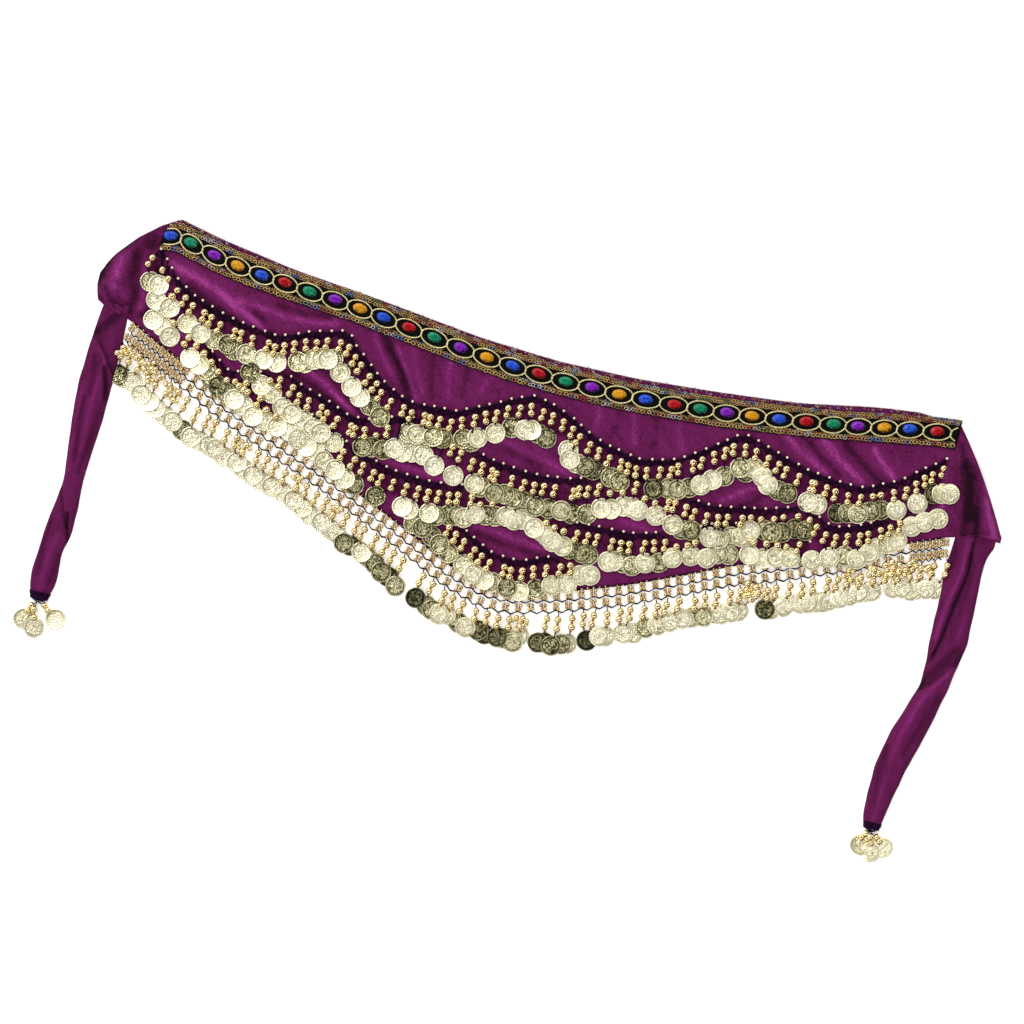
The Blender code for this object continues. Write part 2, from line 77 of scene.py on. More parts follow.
# %% Camera
VIEW_CENTRE = (10.2, -113.0)
VIEW_WIDTH = 1.024
VIEW_TURN = math.radians(14.3)
CAMERA_HEIGHT = 3.0

lens = bpy.data.cameras.new("camera")
lens.sensor_width = 36.0
lens.lens = lens.sensor_width * CAMERA_HEIGHT / VIEW_WIDTH
camera = bpy.data.objects.new("camera", lens)
camera.location = spot(*VIEW_CENTRE, CAMERA_HEIGHT / MM)
camera.rotation_euler = (0.0, 0.0, VIEW_TURN)
bpy.context.scene.collection.objects.link(camera)
bpy.context.scene.camera = camera
print("lens:", round(lens.lens, 1), "mm")

# %% [markdown]
# Colours are written as they look on a screen, and a shader wants them linear, so one function turns them. Another
# adds a node with its settings and its links. The rest are short names for what most materials need: a step of
# arithmetic, a noise, a colour and a fine relief. Every material below is built with these.

# %% Colour and node helpers
def linear(colour):
    """An sRGB hex colour as linear red, green, blue and an alpha of one."""
    parts = [int(colour[k:k + 2], 16) / 255 for k in (1, 3, 5)]
    return [part / 12.92 if part <= 0.04045 else ((part + 0.055) / 1.055) ** 2.4 for part in parts] + [1.0]


def add_node(tree, kind, inputs=None, **settings):
    """A new node. Each input is a value, or another node's output to link."""
    made = tree.nodes.new(kind)
    for name, value in settings.items():
        setattr(made, name, value)
    for name, value in (inputs or {}).items():
        if isinstance(value, bpy.types.NodeSocket):
            tree.links.new(value, made.inputs[name])
        else:
            made.inputs[name].default_value = value
    return made


def new_material(name, **sockets):
    """A material with its Principled shader, whose named sockets get one value all over."""
    made = bpy.data.materials.new(name)
    made.use_nodes = True
    shader = made.node_tree.nodes["Principled BSDF"]
    for socket, value in sockets.items():
        shader.inputs[socket.replace("_", " ")].default_value = value
    return made, made.node_tree, shader


def ramp(tree, factor, stops, interpolation="LINEAR"):
    """A colour ramp through (place, hex colour) stops."""
    made = add_node(tree, "ShaderNodeValToRGB", {"Fac": factor})
    made.color_ramp.interpolation = interpolation
    while len(made.color_ramp.elements) < len(stops):
        made.color_ramp.elements.new(0.5)
    for element, (place, colour) in zip(made.color_ramp.elements, stops):
        element.position = place
        element.color = linear(colour)
    return made


def maths(tree, operation, *values):
    """One step of arithmetic between sockets and numbers."""
    return add_node(tree, "ShaderNodeMath", dict(enumerate(values)), operation=operation).outputs["Value"]


def grain(tree, place, scale, detail, **inputs):
    """Noise at a place, as a number from 0 to 1."""
    settings = {"Vector": place, "Scale": scale, "Detail": detail, **inputs}
    return add_node(tree, "ShaderNodeTexNoise", settings).outputs["Fac"]


def paint(tree, shader, colour):
    tree.links.new(colour.outputs["Color"], shader.inputs["Base Color"])


def emboss(tree, shader, height, strength, depth):
    """Fine relief on the surface, depth millimetres deep."""
    bump = add_node(tree, "ShaderNodeBump", {"Height": height, "Strength": strength, "Distance": depth * MM})
    tree.links.new(bump.outputs["Normal"], shader.inputs["Normal"])


def flecked_material(name, scale, detail, stops, relief=None, **sockets):
    """A material whose colour, and its relief if there is any, changes a little from place to place."""
    made, tree, shader = new_material(name, **sockets)
    flecks = grain(tree, add_node(tree, "ShaderNodeTexCoord").outputs["Object"], scale, detail)
    paint(tree, shader, ramp(tree, flecks, stops))
    if relief:
        emboss(tree, shader, flecks, *relief)
    return made


print("helpers ready, and black is", linear("#000000"))

# %% [markdown]
# The studio is plain: a pale floor and large soft lights, with a darker ceiling between them and the brightest sky on
# the side of the key light. Polished coins and beads only look like metal when they have something bright and
# something dark to mirror.

# %% Studio
FLOOR_DROP = 0.25
FLOOR_GLOW = 0.42
SKY_STRENGTH = 1.3


def soft_light(name, place, size, power):
    light = bpy.data.lights.new(name, "AREA")
    light.size = size
    light.energy = power
    lamp = bpy.data.objects.new(name, light)
    lamp.location = place
    lamp.rotation_mode = "QUATERNION"
    lamp.rotation_quaternion = (-Vector(place)).to_track_quat("-Z", "Y")
    bpy.context.scene.collection.objects.link(lamp)


soft_light("key_light", (-1.15, 0.95, 1.9), 0.9, 22)
soft_light("fill_light", (1.3, -0.5, 1.8), 0.8, 11)
soft_light("front_light", (0.1, -1.6, 1.7), 0.8, 9)

world = bpy.data.worlds.new("studio")
world.use_nodes = True
bpy.context.scene.world = world
sky = world.node_tree
direction = add_node(sky, "ShaderNodeTexCoord")
parts = add_node(sky, "ShaderNodeSeparateXYZ", {"Vector": direction.outputs["Generated"]})
tone = ramp(sky, parts.outputs["Z"], [(0.0, "#FFFFFF"), (0.55, "#F4F2EE"), (0.82, "#B9B6B0"), (0.95, "#4A4844")])
leftward = maths(sky, "MULTIPLY_ADD", parts.outputs["X"], -0.42, 0.5)
key_side = maths(sky, "MULTIPLY_ADD", parts.outputs["Y"], 0.34, leftward)
sides = ramp(sky, key_side, [(0.12, "#3C3834"), (0.38, "#B4B0AA"), (0.62, "#FFFFFF")])
lit_sky = add_node(
    sky, "ShaderNodeMixRGB", {"Fac": 1.0, "Color1": tone.outputs["Color"], "Color2": sides.outputs["Color"]},
    blend_type="MULTIPLY",
)
sky.nodes["Background"].inputs["Strength"].default_value = SKY_STRENGTH
sky.links.new(lit_sky.outputs["Color"], sky.nodes["Background"].inputs["Color"])
bpy.context.scene.view_settings.view_transform = "Standard"

floor_shape = bmesh.new()
bmesh.ops.create_grid(floor_shape, x_segments=1, y_segments=1, size=4.0)
bmesh.ops.translate(floor_shape, verts=floor_shape.verts, vec=(0, 0, -FLOOR_DROP * MM))
floor_mesh = bpy.data.meshes.new("floor")
floor_shape.to_mesh(floor_mesh)
floor_shape.free()
floor = bpy.data.objects.new("floor", floor_mesh)
bpy.context.scene.collection.objects.link(floor)
paper, *_ = new_material(
    "white_paper_backdrop", Roughness=0.9, Base_Color=linear("#F6F5F3"),
    Emission_Color=linear("#FFFFFF"), Emission_Strength=FLOOR_GLOW,
)
floor_mesh.materials.append(paper)
print("lights:", [light.name for light in bpy.data.lights])

# %% [markdown]
# The panel is cut as a shallow triangle, and its outline is all in three tables: the waist edge, the middle thread
# of the net that runs beside the hem, and the short lower edges of the two turned ends. Reading a table with a small
# blur rounds its corners, as a stretchy cloth does.

# %% Outline tables
UPPER_EDGE = [
    (-448, 16), (-444, 28), (-437, 40), (-420, 60), (-400, 78), (-382, 89), (-340, 80), (-260, 68),
    (-180, 61), (-60, 48), (20, 44.5), (100, 47), (180, 54), (260, 63), (340, 79), (380, 84),
    (424, 82), (432, 72.5), (440, 62), (450, 47.5), (461, 32), (470, 18), (480, 1.5), (491, -18),
]
NET_THREAD = [
    (-409, -31), (-360, -53), (-300, -82), (-240, -105), (-180, -127), (-100, -161), (-40, -189),
    (0, -201), (30, -201), (80, -187), (140, -165), (200, -138), (240, -119), (280, -105),
    (360, -72), (445, -38),
]
LEFT_LOWER = [(-448, 6), (-444, -9), (-437, -13), (-420, -18), (-409, -21)]
RIGHT_LOWER = [(445, -28), (452, -26.5), (470, -22.5), (491, -23)]
NET_UPPER, NET_LOWER = 10.5, 11.5


def along(table, x, blur=0.0):
    """The second column of a table at x, with its corners rounded over blur to each side."""
    xs, ys = zip(*table)
    return float(np.mean(np.interp(x + blur * np.linspace(-1.0, 1.0, 9), xs, ys)))


def slope(table, x, reach):
    return (along(table, x + reach) - along(table, x - reach)) / (2 * reach)


def waist(x):
    return along(UPPER_EDGE, x, 14) if -370 < x < 372 else along(UPPER_EDGE, x, 2)


def hem(x):
    return along(NET_THREAD, x, 8) + NET_UPPER


def lower_edge(x):
    if x <= LEFT_LOWER[-1][0]:
        return along(LEFT_LOWER, x)
    return along(RIGHT_LOWER, x) if x >= RIGHT_LOWER[0][0] else hem(x)


print("depth at the point:", round(waist(15) - hem(15)), "mm")

# %% [markdown]
# Cloth that lies on a table is never flat. It has a few wide swells, the thick roll where each end is turned under, and
# many soft creases. A crease is a route with a width and a height, below zero for a trough. They are placed where the
# photograph shows them, uneven as it does, and added up at each point of the cloth. Painted shades and highlights are
# routes of the same kind that only darken or lighten the velvet's colour: painted shade in the folds of the turned ends
# and along their rolled edges, and painted highlights on the right flap's lit side and along its lower edge. What is
# sewn on later reads the cloth's level from a grid, which is worked out once.

# %% Folds and creases
WALL = 1.6
Crease = namedtuple("Crease", "width height route")

SWELLS = [
    Crease(9.5, 8.0, [(-413, 60), (-434, 4)]),
    Crease(9.5, 9.0, [(446, 50), (471, -12)]),
    Crease(24, 1.6, [(-330, 0), (-262, -34)]),
    Crease(25, 2.0, [(-215, -40), (-150, -92)]),
    Crease(23, 1.8, [(-100, -20), (-62, -80)]),
    Crease(23, 1.6, [(-36, -60), (-66, -120)]),
    Crease(24, 2.0, [(118, -50), (132, -104)]),
    Crease(24, 1.8, [(215, -20), (178, -76)]),
    Crease(23, 1.8, [(345, 4), (300, -44)]),
    Crease(3.4, 2.4, [(452, -20), (466, -18), (482, -18)]),
]
CREASES = [
    Crease(5.0, 1.7, [(-382, 43), (-345, 34), (-318, 23), (-296, 12), (-274, 4)]),
    Crease(4.5, -1.2, [(-358, 27), (-334, 13), (-306, 4)]),
    Crease(3.0, -1.3, [(-288, 17), (-278, 10), (-268, 1)]),
    Crease(4.5, 1.1, [(-306, 25), (-258, 20), (-222, 22), (-206, 26)]),
    Crease(3.5, -1.0, [(-268, 30), (-240, 27), (-214, 31)]),
    Crease(4.2, -2.6, [(-158, 29), (-150, 18), (-139, 6), (-127, -11), (-117, -26)]),
    Crease(3.2, 1.6, [(-141, 16), (-130, 2), (-121, -12), (-112, -28)]),
    Crease(3.0, 0.9, [(-166, 24), (-152, 4), (-140, -10)]),
    Crease(3.0, 0.8, [(-125, 20), (-117, 2), (-106, -20)]),
    Crease(2.6, -0.8, [(-104, 18), (-101, -2), (-96, -22)]),
    Crease(3.0, 0.8, [(-86, 16), (-84, 0), (-79, -18)]),
    Crease(3.4, -0.7, [(-68, 14), (-66, -12)]),
    Crease(4.0, 0.6, [(-42, 14), (-50, -4)]),
    Crease(3.6, 1.3, [(-232, -22), (-204, -34), (-170, -56)]),
    Crease(3.0, -1.3, [(-236, -32), (-204, -44), (-168, -62)]),
    Crease(2.8, -1.0, [(-206, -22), (-180, -40), (-160, -54)]),
    Crease(3.6, 0.9, [(-134, -92), (-100, -96), (-62, -98)]),
    Crease(3.0, -0.9, [(-130, -87), (-96, -90), (-66, -92)]),
    Crease(4.5, 0.9, [(-18, -46), (20, -54), (60, -60)]),
    Crease(4.0, -0.8, [(-10, -54), (26, -62)]),
    Crease(3.4, 0.8, [(64, 22), (72, 2), (70, -14)]),
    Crease(3.2, -0.7, [(86, 22), (92, 0), (88, -14)]),
    Crease(3.6, 1.0, [(102, 20), (108, 0), (112, -16)]),
    Crease(3.2, -0.7, [(124, 22), (130, 4), (132, -12)]),
    Crease(3.6, 0.7, [(150, 26), (152, 8), (160, -10)]),
    Crease(4.2, 1.4, [(256, 30), (280, 14), (304, 2)]),
    Crease(3.2, -1.4, [(274, 32), (296, 17), (318, 4)]),
    Crease(4.2, 1.7, [(294, 34), (314, 19), (340, 3)]),
    Crease(3.4, -1.4, [(316, 36), (338, 20), (360, 6)]),
    Crease(4.0, 1.4, [(346, 36), (358, 24), (372, 14)]),
    Crease(4.0, 1.2, [(238, -30), (226, -38), (212, -50)]),
    Crease(3.4, -1.0, [(254, -30), (244, -42), (230, -52)]),
    Crease(3.6, 0.9, [(100, -92), (126, -95), (150, -97)]),
    Crease(4.0, 1.0, [(-34, -133), (0, -137), (50, -141)]),
    Crease(3.2, -0.9, [(-20, -142), (20, -147), (48, -148)]),
    Crease(4.0, 1.0, [(120, -142), (150, -130), (176, -118)]),
    Crease(4.0, -1.0, [(-250, -88), (-212, -100), (-170, -122)]),
    Crease(4.0, 1.0, [(-360, -18), (-330, -36), (-300, -58)]),
    Crease(4.6, -1.1, [(-416, 44), (-414, 24), (-409, 4), (-413, -12)]),
    Crease(5.0, 1.5, [(-405, 48), (-402, 20), (-398, -6)]),
    Crease(3.0, -1.2, [(-393, 34), (-389, 10), (-396, -14)]),
    Crease(8.0, 1.5, [(-431, 34), (-429, 16), (-427, 2)]),
    Crease(3.4, -1.8, [(-422, 60), (-438, 42), (-447, 22), (-448, 6)]),
    Crease(2.6, -1.2, [(-438, 4), (-430, -6), (-420, -13)]),
    Crease(1.6, 1.2, [(-443, -9), (-434, -13), (-420, -17)]),
    Crease(2.6, 1.1, [(-398, 52), (-404, 30), (-401, 6)]),
    Crease(4.0, -0.6, [(447, 34), (455, 18), (462, -4), (467, -22)]),
    Crease(4.0, 0.8, [(466, 13), (473, -2), (480, -16)]),
    Crease(3.4, 1.4, [(420, 34), (424, 6), (430, -20)]),
    Crease(1.8, 0.8, [(450, 30), (456, 8), (459, -14)]),
]
# Painted shade (below zero) and painted highlight (above zero) on the turned ends, in the velvet's colour only.
PAINTED_SHADES_AND_HIGHLIGHTS = [
    Crease(3.6, -0.36, [(430, 62), (437, 45)]),
    Crease(7.0, -0.58, [(440, 41), (447, 24), (454, 0)]),
    Crease(4.2, -0.44, [(451, 4), (452, -12), (453, -27)]),
    Crease(4.6, -0.50, [(455, 2), (461, -10), (465, -25)]),
    Crease(12.0, -0.08, [(437, 46), (449, 17), (459, -26)]),
    Crease(4.0, 0.30, [(461, 30), (469, 10), (477, -5), (484, -17)]),
    Crease(2.4, -0.26, [(474, 12), (483, -2), (490, -14)]),
    Crease(17.0, -0.09, [(-432, 22), (-412, 50)]),
    Crease(1.2, 0.35, [(456, -24.5), (470, -20.5), (489, -18.5)]),
    Crease(6.0, -0.22, [(-447, 14), (-436, 42), (-414, 68), (-392, 84)]),
    Crease(5.0, -0.26, [(-408, 62), (-402, 36), (-404, 10), (-410, -14)]),
    Crease(7.0, -0.20, [(-400, 60), (-392, 30), (-396, -10)]),
    Crease(3.0, -0.34, [(-426, 2), (-420, -8), (-412, -20)]),
    Crease(2.4, -0.30, [(-446, -4), (-438, -11), (-424, -16)]),
]


def crease_height(x, y, creases):
    """What the creases add up to at arrays of places."""
    total = np.zeros_like(x)
    for crease in creases:
        nearest = np.full_like(x, 1e9)
        for (x0, y0), (x1, y1) in zip(crease.route, crease.route[1:]):
            run_x, run_y = x1 - x0, y1 - y0
            share = np.clip(((x - x0) * run_x + (y - y0) * run_y) / (run_x**2 + run_y**2), 0, 1)
            nearest = np.minimum(nearest, np.hypot(x - x0 - share * run_x, y - y0 - share * run_y))
        total += crease.height * np.exp(-((nearest / crease.width) ** 2))
    return total


def ripple(x, y, size, seed):
    """Small uneven waves, so that no stretch of cloth is dead flat."""
    return np.array([noise.noise(Vector((px / size, py / size, seed))) for px, py in zip(x, y)])


LEVEL_STEP = 1.5
level_xs = np.arange(-460.0, 502.0, LEVEL_STEP)
level_ys = np.arange(-260.0, 110.0, LEVEL_STEP)
levels = crease_height(*np.meshgrid(level_xs, level_ys), SWELLS + CREASES)


def cloth_height(x, y):
    """How high the cloth lies at one place, read between the points of a grid: what is sewn on it has this level."""
    column = min(max((x - level_xs[0]) / LEVEL_STEP, 0.0), len(level_xs) - 1.001)
    row = min(max((y - level_ys[0]) / LEVEL_STEP, 0.0), len(level_ys) - 1.001)
    j, i = int(column), int(row)
    low, high = levels[i, j:j + 2], levels[i + 1, j:j + 2]
    upper = low + (high - low) * (row - i)
    return float(upper[0] + (upper[1] - upper[0]) * (column - j))


print("creases:", len(CREASES), "and swells:", len(SWELLS))

# %% [markdown]
# Four rows of crochet thread cross the velvet in swags. Their routes come before the cloth, because the velvet gets a
# band of painted shade below each row, where its beads cast their shadow.

# %% Row threads
ROW_THREADS = {
    "a": [
        (-394, 55), (-386, 47), (-371, 31), (-349, 18), (-336, 14), (-314, 7), (-303, 5), (-281, 2),
        (-260, 0), (-238, 8), (-228, 13), (-208, 18), (-198, 21), (-187, 18), (-183, 11), (-172, 3),
        (-153, -13), (-142, -20), (-120, -30), (-108, -31), (-83, -29), (-72, -30), (-48, -19), (-28, -9),
        (-16, -2), (5, 6), (27, 1), (50, -8), (61, -15), (85, -24), (109, -28), (122, -30), (147, -24),
        (159, -20), (178, -7), (197, 7), (211, 18), (222, 20), (241, 14), (262, 8), (287, 1), (298, 0),
        (325, -3), (347, -2), (358, 4), (379, 14), (397, 30), (407, 37), (418, 46),
    ],
    "b": [
        (-385, 10), (-345, -15), (-328, -25), (-310, -38), (-298, -46), (-270, -40), (-248, -31),
        (-226, -41), (-193, -51), (-170, -60), (-150, -58), (-126, -49), (-110, -45), (-70, -50),
        (-50, -60), (-19, -67), (10, -70), (31, -70), (58, -66), (85, -58), (122, -45), (150, -52),
        (188, -56), (200, -57), (221, -54), (255, -47), (292, -35), (325, -48), (347, -41), (370, -30),
        (400, -10), (418, 2),
    ],
    "c": [
        (-285, -48), (-245, -60), (-205, -68), (-178, -80), (-150, -93), (-133, -97), (-118, -101),
        (-104, -102), (-78, -103), (-66, -102), (-42, -98), (5, -90), (35, -103), (57, -108), (105, -105),
        (129, -104), (145, -100), (158, -96), (190, -83), (210, -73), (245, -65), (290, -60), (306, -68),
    ],
    "d": [
        (-85, -125), (-52, -132), (-36, -138), (-24, -145), (-13, -150), (-2, -156), (15, -158), (31, -158),
        (43, -152), (54, -148), (75, -140), (100, -130),
    ],
}
print("points along the row threads:", {name: len(route) for name, route in ROW_THREADS.items()})

# %% [markdown]
# The cloth starts as a flat grid, whose points are moved to the cut's outline and lifted by the folds. Extruding the
# whole grid once gives the velvet its underside, which is set to a wall's thickness below the top, or down on the
# table under the turned ends. That makes one closed sheet with a soft rolled edge.

# %% Cloth helpers
def finished(name, work, *materials, smooth=True):
    """A finished object from a bmesh, with outward faces, that rides on the scarf's one body."""
    mesh = bpy.data.meshes.new(name)
    work.to_mesh(mesh)
    work.free()
    for one in materials:
        mesh.materials.append(one)
    mesh.shade_smooth() if smooth else mesh.shade_flat()
    made = bpy.data.objects.new(name, mesh)
    bpy.context.scene.collection.objects.link(made)
    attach(made, "root")
    print(f"{name}: {sum(len(face.vertices) - 2 for face in mesh.polygons)} triangles")
    return made


def cloth_grid(columns, rows):
    """A flat grid from 0 to 1 both ways, with its UV map."""
    work = bmesh.new()
    work.loops.layers.uv.new("UVMap")
    bmesh.ops.create_grid(work, x_segments=columns, y_segments=rows, size=0.5, calc_uvs=True)
    bmesh.ops.translate(work, verts=work.verts, vec=(0.5, 0.5, 0.0))
    return work


def sew_sheet(name, work, x, y, top, under, painted_light_and_shade, material):
    """Moves a grid's points to their places, extrudes its underside, and keeps the painted light and shade of each
    point.
    """
    layer = work.verts.layers.float.new("painted_light_and_shade")
    work.verts.ensure_lookup_table()
    for vert, px, py, pz, painted_shading in zip(work.verts, x, y, top, painted_light_and_shade):
        vert.co = spot(px, py, pz)
        vert[layer] = painted_shading
    count = len(work.verts)
    bmesh.ops.extrude_face_region(work, geom=list(work.faces))
    work.verts.ensure_lookup_table()
    upper = {vert.co.copy().freeze(): k for k, vert in enumerate(work.verts[:count])}
    for vert in work.verts[count:]:
        k = upper[vert.co.copy().freeze()]
        vert.co.z = under[k] * MM
    bmesh.ops.recalc_face_normals(work, faces=work.faces)
    return finished(name, work, material)


# %% [markdown]
# Stretch velvet has a short dense pile. From above it looks deep purple, lighter and pinker on the crown of a crease,
# and almost black in its trough. That light and shade is painted: an attribute carries painted light on each crease's
# crown, painted shade in its trough and the painted shades laid along routes, a stretched noise gives the crushed
# streaks, and a fine noise of under a millimetre is the pile.
# The gathered ties have streaks that run down them, and are less mottled because they are pulled tight.

# %% Velvet
def velvet_cloth(name, streak_turn, crush):
    """Velvet whose crushed streaks run at a given turn from the waist. Crush is how strongly the pile is mottled."""
    made, tree, shader = new_material(
        name, Roughness=0.9, Specular_IOR_Level=0.1,
        Sheen_Weight=0.12, Sheen_Roughness=0.4, Sheen_Tint=linear("#D05BB8"),
    )
    place = add_node(tree, "ShaderNodeTexCoord").outputs["Object"]
    streak_place = add_node(
        tree, "ShaderNodeMapping", {"Vector": place, "Rotation": (0, 0, streak_turn), "Scale": (3.2, 1.0, 1.0)},
        vector_type="TEXTURE",
    ).outputs["Vector"]
    streaks = grain(tree, streak_place, 90.0, 6.0, Roughness=0.74, Distortion=0.5)
    mottle = grain(tree, place, 420.0, 4.0, Roughness=0.75)
    # The painted light and shade of each point: light on crease crowns, shade in troughs, folds and under the rows.
    painted_light_and_shade = add_node(tree, "ShaderNodeAttribute", attribute_name="painted_light_and_shade").outputs["Fac"]
    lit = maths(tree, "MULTIPLY_ADD", painted_light_and_shade, 0.8, 0.27 - crush / 2)
    crushed = maths(tree, "MULTIPLY_ADD", streaks, 0.66, lit)
    speckled = maths(tree, "MULTIPLY_ADD", mottle, crush, crushed)
    dark_to_lit = [(0.12, "#210518"), (0.38, "#4A0F38"), (0.60, "#651A50"), (0.80, "#742161"), (1.0, "#9C3B87")]
    paint(tree, shader, ramp(tree, speckled, dark_to_lit))
    emboss(tree, shader, grain(tree, place, 900.0, 2.0), 0.4, 0.4)
    return made


velvet = velvet_cloth("crushed_stretch_velvet", -0.75, 0.86)
tie_velvet = velvet_cloth("gathered_stretch_velvet", 1.5, 0.34)
print("velvets:", velvet.name, "and", tie_velvet.name)

# %% [markdown]
# The body is one grid that is cut to the outline. Its edge rolls down to the table over three millimetres. Every crease
# gets painted light on its crown and painted shade in its trough, and a band below each row's thread gets painted
# shade, where the row's beads cast their shadow.

# %% Velvet body
PANEL_RIGHT = 491.0
PANEL_COLUMNS, PANEL_ROWS = 400, 84
EDGE_ROLL = 3.2
RIBBON_LEFT, RIBBON_RIGHT = -396.0, 424.0

work = cloth_grid(PANEL_COLUMNS, PANEL_ROWS)
share_x = np.array([vert.co.x for vert in work.verts])
share_y = np.array([vert.co.y for vert in work.verts])
columns = {share: PANEL_LEFT + share * (PANEL_RIGHT - PANEL_LEFT) for share in sorted(set(share_x))}
lows = np.array([lower_edge(columns[share]) for share in share_x])
highs = np.array([waist(columns[share]) for share in share_x])
x = PANEL_LEFT + share_x * (PANEL_RIGHT - PANEL_LEFT)
y = lows + share_y * (highs - lows)
inside = np.minimum.reduce([y - lows, highs - y, x - PANEL_LEFT, PANEL_RIGHT - x])
roll = np.sqrt(1 - (1 - np.clip(inside / EDGE_ROLL, 0, 1)) ** 2)
swell = crease_height(x, y, SWELLS)
fine = crease_height(x, y, CREASES)
uneven = 0.5 * ripple(x, y, 26, 3.0) + 0.25 * ripple(x, y, 9, 8.0)
turned = (x < RIBBON_LEFT) | (x > RIBBON_RIGHT)
full = swell + fine + uneven + WALL
top = np.maximum(full, 0.9 + 0.2 * uneven) * (0.35 + 0.65 * roll)
under = np.where(turned, 0.0, np.maximum(top - 1.1, 0.0))
# Painted light on each crease's crown and painted shade in its trough, with the painted shades and highlights laid
# along routes.
body_painted_light_and_shade = 0.66 * np.tanh(0.5 * fine) + 0.10 * uneven + crease_height(x, y, PAINTED_SHADES_AND_HIGHLIGHTS)
# Painted shade in a band below each row's thread, darkest just below the thread, where the beads and thread cast
# shadow.
for row_thread in ROW_THREADS.values():
    xs, ys = zip(*row_thread)
    drop = np.interp(x, xs, ys, left=1e3, right=1e3) - y
    body_painted_light_and_shade += -0.16 * (drop > 0) * (drop < 24) - 0.22 * np.exp(-(((drop - 2.5) / 4.5) ** 2))
body_cloth = sew_sheet("body_cloth", work, x, y, top, under, body_painted_light_and_shade, velvet)
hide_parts("body_panel")

# %% [markdown]
# Each tie is a strip gathered lengthwise, so it lies as a narrow soft roll with folds along it. At one place it turns
# over, and there the strip above runs in under the one that comes out. A lap is such an edge: it lifts the cloth on
# one side of a route, and drops off sharply on the other.

# %% Ties
TieSection = namedtuple("TieSection", "y left right crown")
Lap = namedtuple("Lap", "rise reach route")
LEFT_TIE = [TieSection(*section) for section in (
    (-8, -436, -411, 2.0), (-22, -438, -410, 3.2), (-50, -440, -408.5, 4.2), (-90, -442, -408.5, 4.6),
    (-125, -440, -409, 5.0), (-160, -436, -411.5, 5.2), (-192, -432, -413, 5.6), (-218, -435, -411, 5.2),
    (-245, -438.5, -411, 4.8), (-264, -439, -416, 4.8), (-290, -441, -413.5, 5.2), (-305, -438.8, -416, 5.6),
    (-314, -434.5, -419.5, 5.4),
)]
RIGHT_TIE = [TieSection(*section) for section in (
    (-17, 447, 484, 2.0), (-26, 446, 489, 3.0), (-40, 445, 481, 4.2), (-62, 443.5, 481, 4.6),
    (-100, 446, 483, 5.0), (-132, 446, 484, 5.0), (-155, 448.5, 480, 5.4), (-180, 448, 476, 5.6),
    (-205, 440, 471, 5.4), (-232, 431, 465, 5.2), (-268, 424, 455, 5.0), (-300, 424, 449, 4.8),
    (-322, 425, 445.5, 5.4), (-331, 428.8, 444, 5.4),
)]
LEFT_TIE_CREASES = [
    Crease(4.2, -3.4, [(-419, -19), (-425, -28), (-434, -40)]),
    Crease(1.6, 1.3, [(-438, -44), (-429, -56), (-420, -68), (-417, -80)]),
    Crease(2.6, -1.4, [(-431, -66), (-428, -84), (-427, -104)]),
    Crease(2.2, -4.0, [(-419, -74), (-415, -88), (-411, -104)]),
    Crease(3.4, 1.2, [(-422, -84), (-422, -120), (-421, -160)]),
    Crease(3.0, -1.3, [(-432, -108), (-429, -140), (-426, -170)]),
    Crease(2.6, 1.0, [(-436, -96), (-434, -140), (-429, -182)]),
    Crease(2.4, -1.2, [(-414, -120), (-416, -150), (-419, -182)]),
    Crease(1.5, -3.6, [(-419.5, -224), (-416, -240), (-413, -252)]),
    Crease(3.2, 1.3, [(-424, -248), (-426, -276), (-428, -304)]),
    Crease(2.8, -1.1, [(-433, -236), (-434, -262), (-433, -290)]),
    Crease(2.4, -0.9, [(-419, -268), (-420, -296)]),
]
RIGHT_TIE_CREASES = [
    Crease(3.0, -1.6, [(447, -28), (449, -40), (450, -56)]),
    Crease(2.4, 2.6, [(458.5, -28), (460.5, -60), (454, -97), (451, -131)]),
    Crease(1.5, -2.4, [(464, -30), (466, -60), (460.5, -95), (456, -131), (453, -148)]),
    Crease(3.2, -0.7, [(474, -50), (470, -90), (467, -130)]),
    Crease(3.0, 0.9, [(477, -50), (475, -90), (474, -126)]),
    Crease(4.6, -1.9, [(446, -178), (457, -166), (468, -150), (474, -138)]),
    Crease(3.4, 1.3, [(474, -158), (463, -178), (452, -198), (443, -232), (438, -262)]),
    Crease(3.0, -1.1, [(468, -190), (458, -222), (449, -252)]),
    Crease(2.8, -0.9, [(431, -246), (430, -276), (433, -304)]),
    Crease(2.6, 0.9, [(440, -268), (437, -300), (436, -322)]),
    Crease(6.0, 1.0, [(472, -164), (461, -182), (449, -208), (443, -228)]),
]
LEFT_LAPS = [
    Lap(1.2, 9.0, [(-404, -86), (-417, -72), (-425, -59), (-441, -44)]),
    Lap(1.1, 5.0, [(-434, -192), (-424, -219), (-418, -234)]),
]
RIGHT_LAPS = [
    Lap(1.2, 7.0, [(452, -146), (456, -131), (460.5, -95), (466, -60), (464, -30)]),
    Lap(1.8, 12.0, [(483, -146), (460, -176), (441, -192)]),
]


